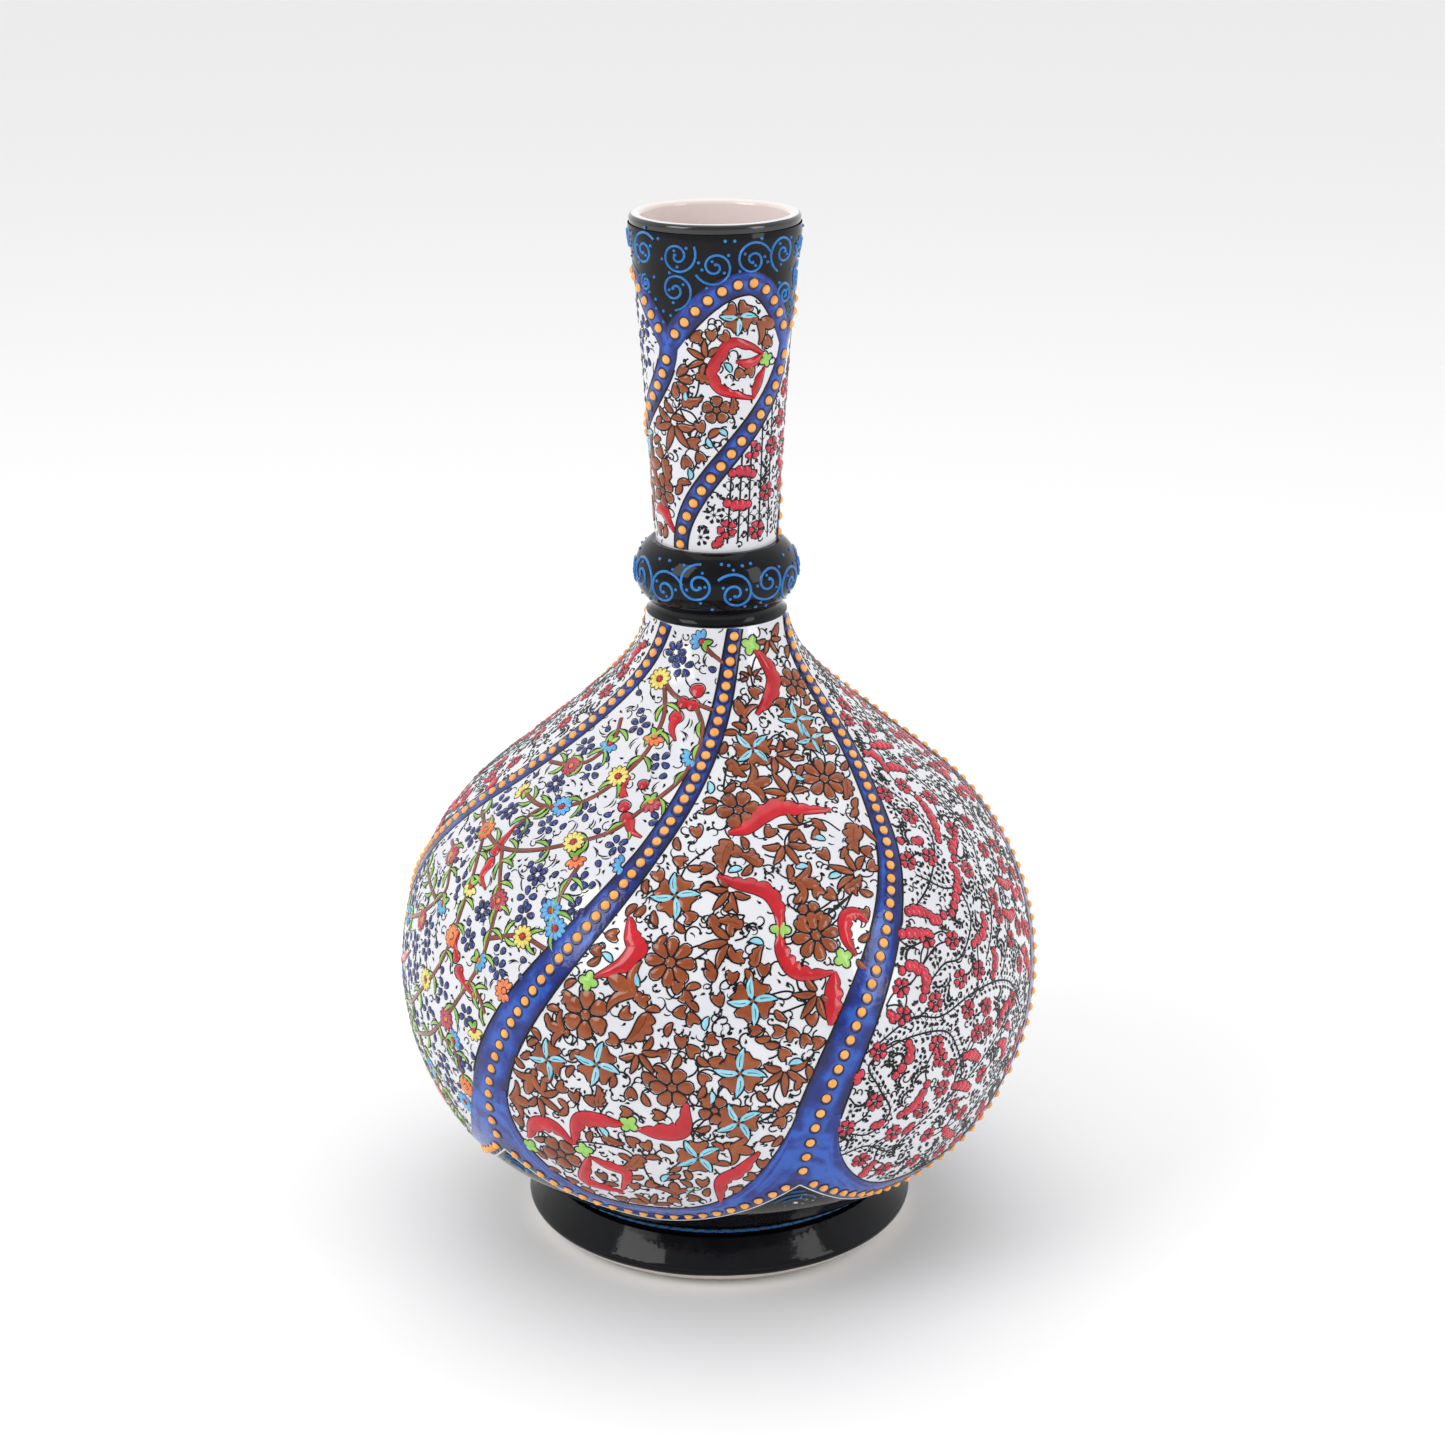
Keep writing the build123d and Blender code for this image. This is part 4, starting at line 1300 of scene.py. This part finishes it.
def paint_scrolls():
    """Coils and dots round the rim and the collar, and waves above the foot."""
    lip = float(neck.length(LIP_Z))
    around = math.pi * 32
    rim = wall_field(neck, "rim_scrolls", lambda a: float(rim_edge(a)) + 4.4, lambda a: lip - 0.3)
    for x, y in ((-33, 112), (-17, 111.5), (-18, 99), (-3, 108), (11, 110), (25, 111.5)):
        scroll(rim, x + 3, y - 1, rng.uniform(0, 360), 7.6, half=0.46)
    scroll_zone(rim, ((-around, around), (80, lip)))
    bulge = collar.s[-1]
    ring = wall_field(collar, "collar_scrolls", lambda a: bulge * 0.2, lambda a: bulge * 0.93)
    for k in range(COLLAR_COILS):
        angle = 360 / COLLAR_COILS * (k + 0.5) - 180
        y = bulge * (0.50 if k % 2 else 0.6)
        scroll(ring, math.radians(angle) * float(collar.radius(y)), y, 80 + 60 * k, 8.4)
    scatter(ring, 3000, 1.9, dot, ((-around, around), (0, bulge)), radius=0.7)
    paint_foot_waves(Field(globe, lambda s: 0 * s, "base_scrolls"))


def paint_foot_waves(field):
    """Dark arcs under each meeting of the bands, and two rows of small waves above the foot."""
    for k in range(BANDS):
        angle = FIRST_CUSP + STEP * k
        peak = float(base_edge(angle)) - 2.5
        for reach in (3.0, 5.6, 8.2, 10.8):
            t = np.radians(np.linspace(-75, 75, 18))
            around = angle + np.degrees(reach * np.sin(t) * 1.5 / globe.radius(peak))
            s = peak - 10 + reach * np.cos(t)
            keep = (s > 3) & (s < base_edge(around) - 1.0)
            if keep.sum() > 3:
                field.stroke("teal", around[keep], s[keep], 0.42, lifts=RAISED)
    for row, height in enumerate((2.6, 5.4)):
        for k in range(WAVES):
            angle = 360 / WAVES * (k + 0.5 * row)
            t = np.radians(np.linspace(-80, 80, 9))
            around = angle + np.degrees(1.9 * np.sin(t) / globe.radius(height))
            s = height + 1.5 * np.cos(t) + rng.uniform(-0.3, 0.3)
            if s.max() < base_edge(angle) - 1.0:
                field.stroke("teal" if row else "azure", around, s, 0.4, lifts=RAISED)


def panel_field(middle, group):
    """A field for one globe panel, closed off by the bands beside it and the garland below."""
    field = Field(globe, lambda s: middle + swirl(globe.height(s)), group)

    def inside(x, y, reach):
        edge = math.radians(STEP / 2) * globe.radius(y) - band_half(y) - 0.4
        low = window_s(middle + math.degrees(x / globe.radius(y)))
        return abs(x) + reach < edge and low + reach < y < globe.s[-1] - 1 - reach
    field.inside = inside
    return field


FRONT = 5.0         # the neck's motifs are placed from a line this many degrees to the right


def neck_field(number, group):
    """A field for one neck panel, between two bands and under their arch."""
    field = Field(neck, lambda s: FRONT + 0 * s, group)

    def inside(x, y, reach):
        per_mm = math.degrees(1 / neck.radius(y))
        angle = FRONT + x * per_mm
        room = (neck_half(y) * 1.3 + 0.4 + reach * 1.2) * per_mm
        left, right = neck_band_angle(number, y), neck_band_angle(number + 1, y)
        return left + room < angle < right - room and 1.5 + reach < y < rim_edge(angle) - 6.0 - reach
    field.inside = inside
    return field


def neck_brown(field):
    """The brown panel carried on up the neck."""
    stems(field, [(-18, 65), (-8, 67), (-16, 54), (-20, 44), (-8, 48), (-20, 32), (-25, 22), (-8, 36)])
    cloud(field, (16, 74), (10, 77.5), (3, 79), (-1, 74), (-4, 68), (-1, 62), (5, 59.5), (12, 57.5), half=1.5)
    cloud(field, (16, 74), (11, 71), (5, 72), half=1.3)
    cloud(field, (12, 57.5), (14, 63), (17, 69), half=1.3)
    cloud(field, (-31, 12), (-25, 13), (-19, 6), half=1.8)
    trefoil(field, 17.5, 71.5, 20, 2.8)
    star(field, 6, 88.5, 10, 7)
    rosette(field, -18, 65, 8, 7)
    rosette(field, -25, 21, 6, 6)
    rosette(field, -2, 54, 5, 5)
    for x, y, turn, size in [(-20, 44, 160, 13), (-20, 31, 240, 11), (-8, 74, 60, 9), (-8, 64, 200, 8),
                             (-12, 54, 230, 9), (6, 54, 300, 7), (-50, 30, 20, 12), (-42, 18, 200, 12)]:
        palmette(field, x, y, turn, size)
    for x, y, turn in [(6.5, 67.5, 200), (10.5, 68, 150), (-8, 47.5, 20), (-8, 36, 200), (-4, 82, 0),
                       (1, 81, 40)]:
        bud(field, x, y, turn, 4.6)
    for x, y, turn in [(3, 70, 0), (1, 46, 20), (-5, 41, 60), (-11, 29, 330), (-14, 58, 40)]:
        small_leaf(field, x, y, turn, 4.6, colour="turquoise")
    star(field, -38, 40, 30, 7.5)
    star(field, -55, 14, 10, 7.5)
    rosette(field, -40, 58, 6, 6)
    brown_fillings(field, ((-78, 32), (0, 112)), density=1.2)


def neck_red(field):
    """The red panel carried on up the neck: upright vines with flowers between them."""
    for bottom, top in ((2, 38), (6, 44), (10, 52), (15, 60), (20, 66)):
        vine(field, (bottom, 3), (bottom + 1, (3 + top) / 2), (bottom + 2, top), twigs=4.5)
    blob_chain(field, (4, 30), (8, 30.5), (12, 29))
    blob_chain(field, (2, 18.5), (6, 17.5), (10, 17.5))
    for x, y in ((12, 38), (2, 8.5), (14, 7), (19, 21), (22, 38)):
        small_flower(field, x, y, rng.uniform(0, 72))
    red_fillings(field, ((-22, 96), (0, 112)), density=1.5)


def neck_blue(field):
    """The blue panel carried on up the neck: upright branches."""
    for x in (48, 66, 84, 102):
        branch(field, (x, 4), (x + 6, 22), (x + 2, 40), (x + 8, 58), (x + 4, 76), leaves=10)
    blue_fillings(field, ((36, 160), (0, 112)), density=1.2)


# --- Camera, light and floor ----------------------------------------------------------------------
EYE, LOOKING_DOWN, ROLL = (0, -1.0624, 0.5706), 19.04, 0.28
FOCAL_LENGTH, SIDE_SHIFT = 72.84, 0.0069


def set_camera():
    """Above the rim, looking down at the belly, framed as the photograph."""
    lens = bpy.data.cameras.new("camera")
    lens.sensor_width, lens.lens = 36.0, FOCAL_LENGTH
    lens.shift_x = SIDE_SHIFT
    camera = bpy.data.objects.new("camera", lens)
    bpy.context.collection.objects.link(camera)
    camera.location = EYE
    camera.rotation_euler = (math.radians(90 - LOOKING_DOWN), math.radians(ROLL), 0)
    bpy.context.scene.camera = camera


def softbox(name, place, size, power):
    """A rectangular white lamp aimed at the middle of the vase."""
    lamp = bpy.data.lights.new(name, "AREA")
    lamp.shape, lamp.size, lamp.size_y = "RECTANGLE", *size
    lamp.energy = power
    light = bpy.data.objects.new(name, lamp)
    bpy.context.collection.objects.link(light)
    light.location = place
    light.rotation_euler = (Vector((0, 0, 0.2)) - Vector(place)).to_track_quat("-Z", "Y").to_euler()


FRONT_LIGHT, BACK_LIGHT = 0.58, 1.05      # the room is darker on the camera's side


def set_world():
    """White all round, brighter behind the vase than in front of it."""
    world = bpy.data.worlds.new("world")
    bpy.context.scene.world = world
    world.use_nodes = True
    tree = world.node_tree
    background = tree.nodes["Background"]
    background.inputs["Color"].default_value = (1, 1, 1, 1)
    split = add_node(tree, "SeparateXYZ", add_node(tree, "TexCoord").outputs["Generated"])
    fade = add_node(tree, "MapRange", split.outputs["Y"], -0.7, 0.35, FRONT_LIGHT, BACK_LIGHT)
    tree.links.new(fade.outputs["Result"], background.inputs["Strength"])


FLOOR_REACH = 45.0


def set_studio():
    """Three softboxes and a white floor that reaches far enough to have no near edge."""
    softbox("key", (-1.5, -1.1, 1.4), (1.0, 1.3), 17)
    softbox("fill", (1.6, -1.0, 0.8), (0.6, 1.4), 9)
    softbox("top", (0.0, 0.3, 2.0), (1.5, 1.5), 5)
    mesh = bpy.data.meshes.new("floor")
    corners = [(x * FLOOR_REACH, y * FLOOR_REACH, 0) for x, y in ((-1, -1), (1, -1), (1, 1), (-1, 1))]
    mesh.from_pydata(corners, [], [(0, 1, 2, 3)])
    floor = bpy.data.objects.new("floor", mesh)
    bpy.context.collection.objects.link(floor)
    pale = bpy.data.materials.new("floor_white")
    pale.use_nodes = True
    shader = pale.node_tree.nodes["Principled BSDF"]
    shader.inputs["Base Color"].default_value = (0.95, 0.95, 0.95, 1)
    shader.inputs["Roughness"].default_value = 0.9
    mesh.materials.append(pale)
    bpy.context.scene.view_settings.view_transform = "Standard"


def dress_frame():
    """Glazes on the CAD's own nodes."""
    wanted = {"neck_collar": "black", "foot_ring": "foot", "neck_tube": "neck", "lower_bowl": "white",
              "upper_dome": "white", "waist_slip": "white", "throat_slip": "black", "foot_slip": "slip",
              "neck_slip": "white"}
    for name, node in frame["nodes"].items():
        for place in node.material_slots:
            place.material = GLAZE["bead" if "beads" in name else wanted[name]]


def make_paint():
    """One piece for each glaze of each group."""
    slots = {"black": "black_glaze", "line": "black_glaze", "bead": "bead_glaze"}
    for (group, colour), paint in Paint.everything.items():
        paint.make(f"{group}_{colour}", GLAZE[colour], slots.get(colour, "white_glaze"))


set_camera()
set_world()
set_studio()
dress_frame()
paint_globe_bands()
paint_neck_bands()
paint_zones()
paint_scrolls()
for turn in (0.0, 180.0):
    blue_panel(panel_field(-75.0 + turn, "blue_panel"))
    brown_panel(panel_field(-15.0 + turn, "brown_panel"))
    red_panel(panel_field(45.0 + turn, "red_panel"))
neck_brown(neck_field(0, "neck_brown"))
neck_red(neck_field(1, "neck_red"))
neck_blue(neck_field(2, "neck_blue"))
make_paint()
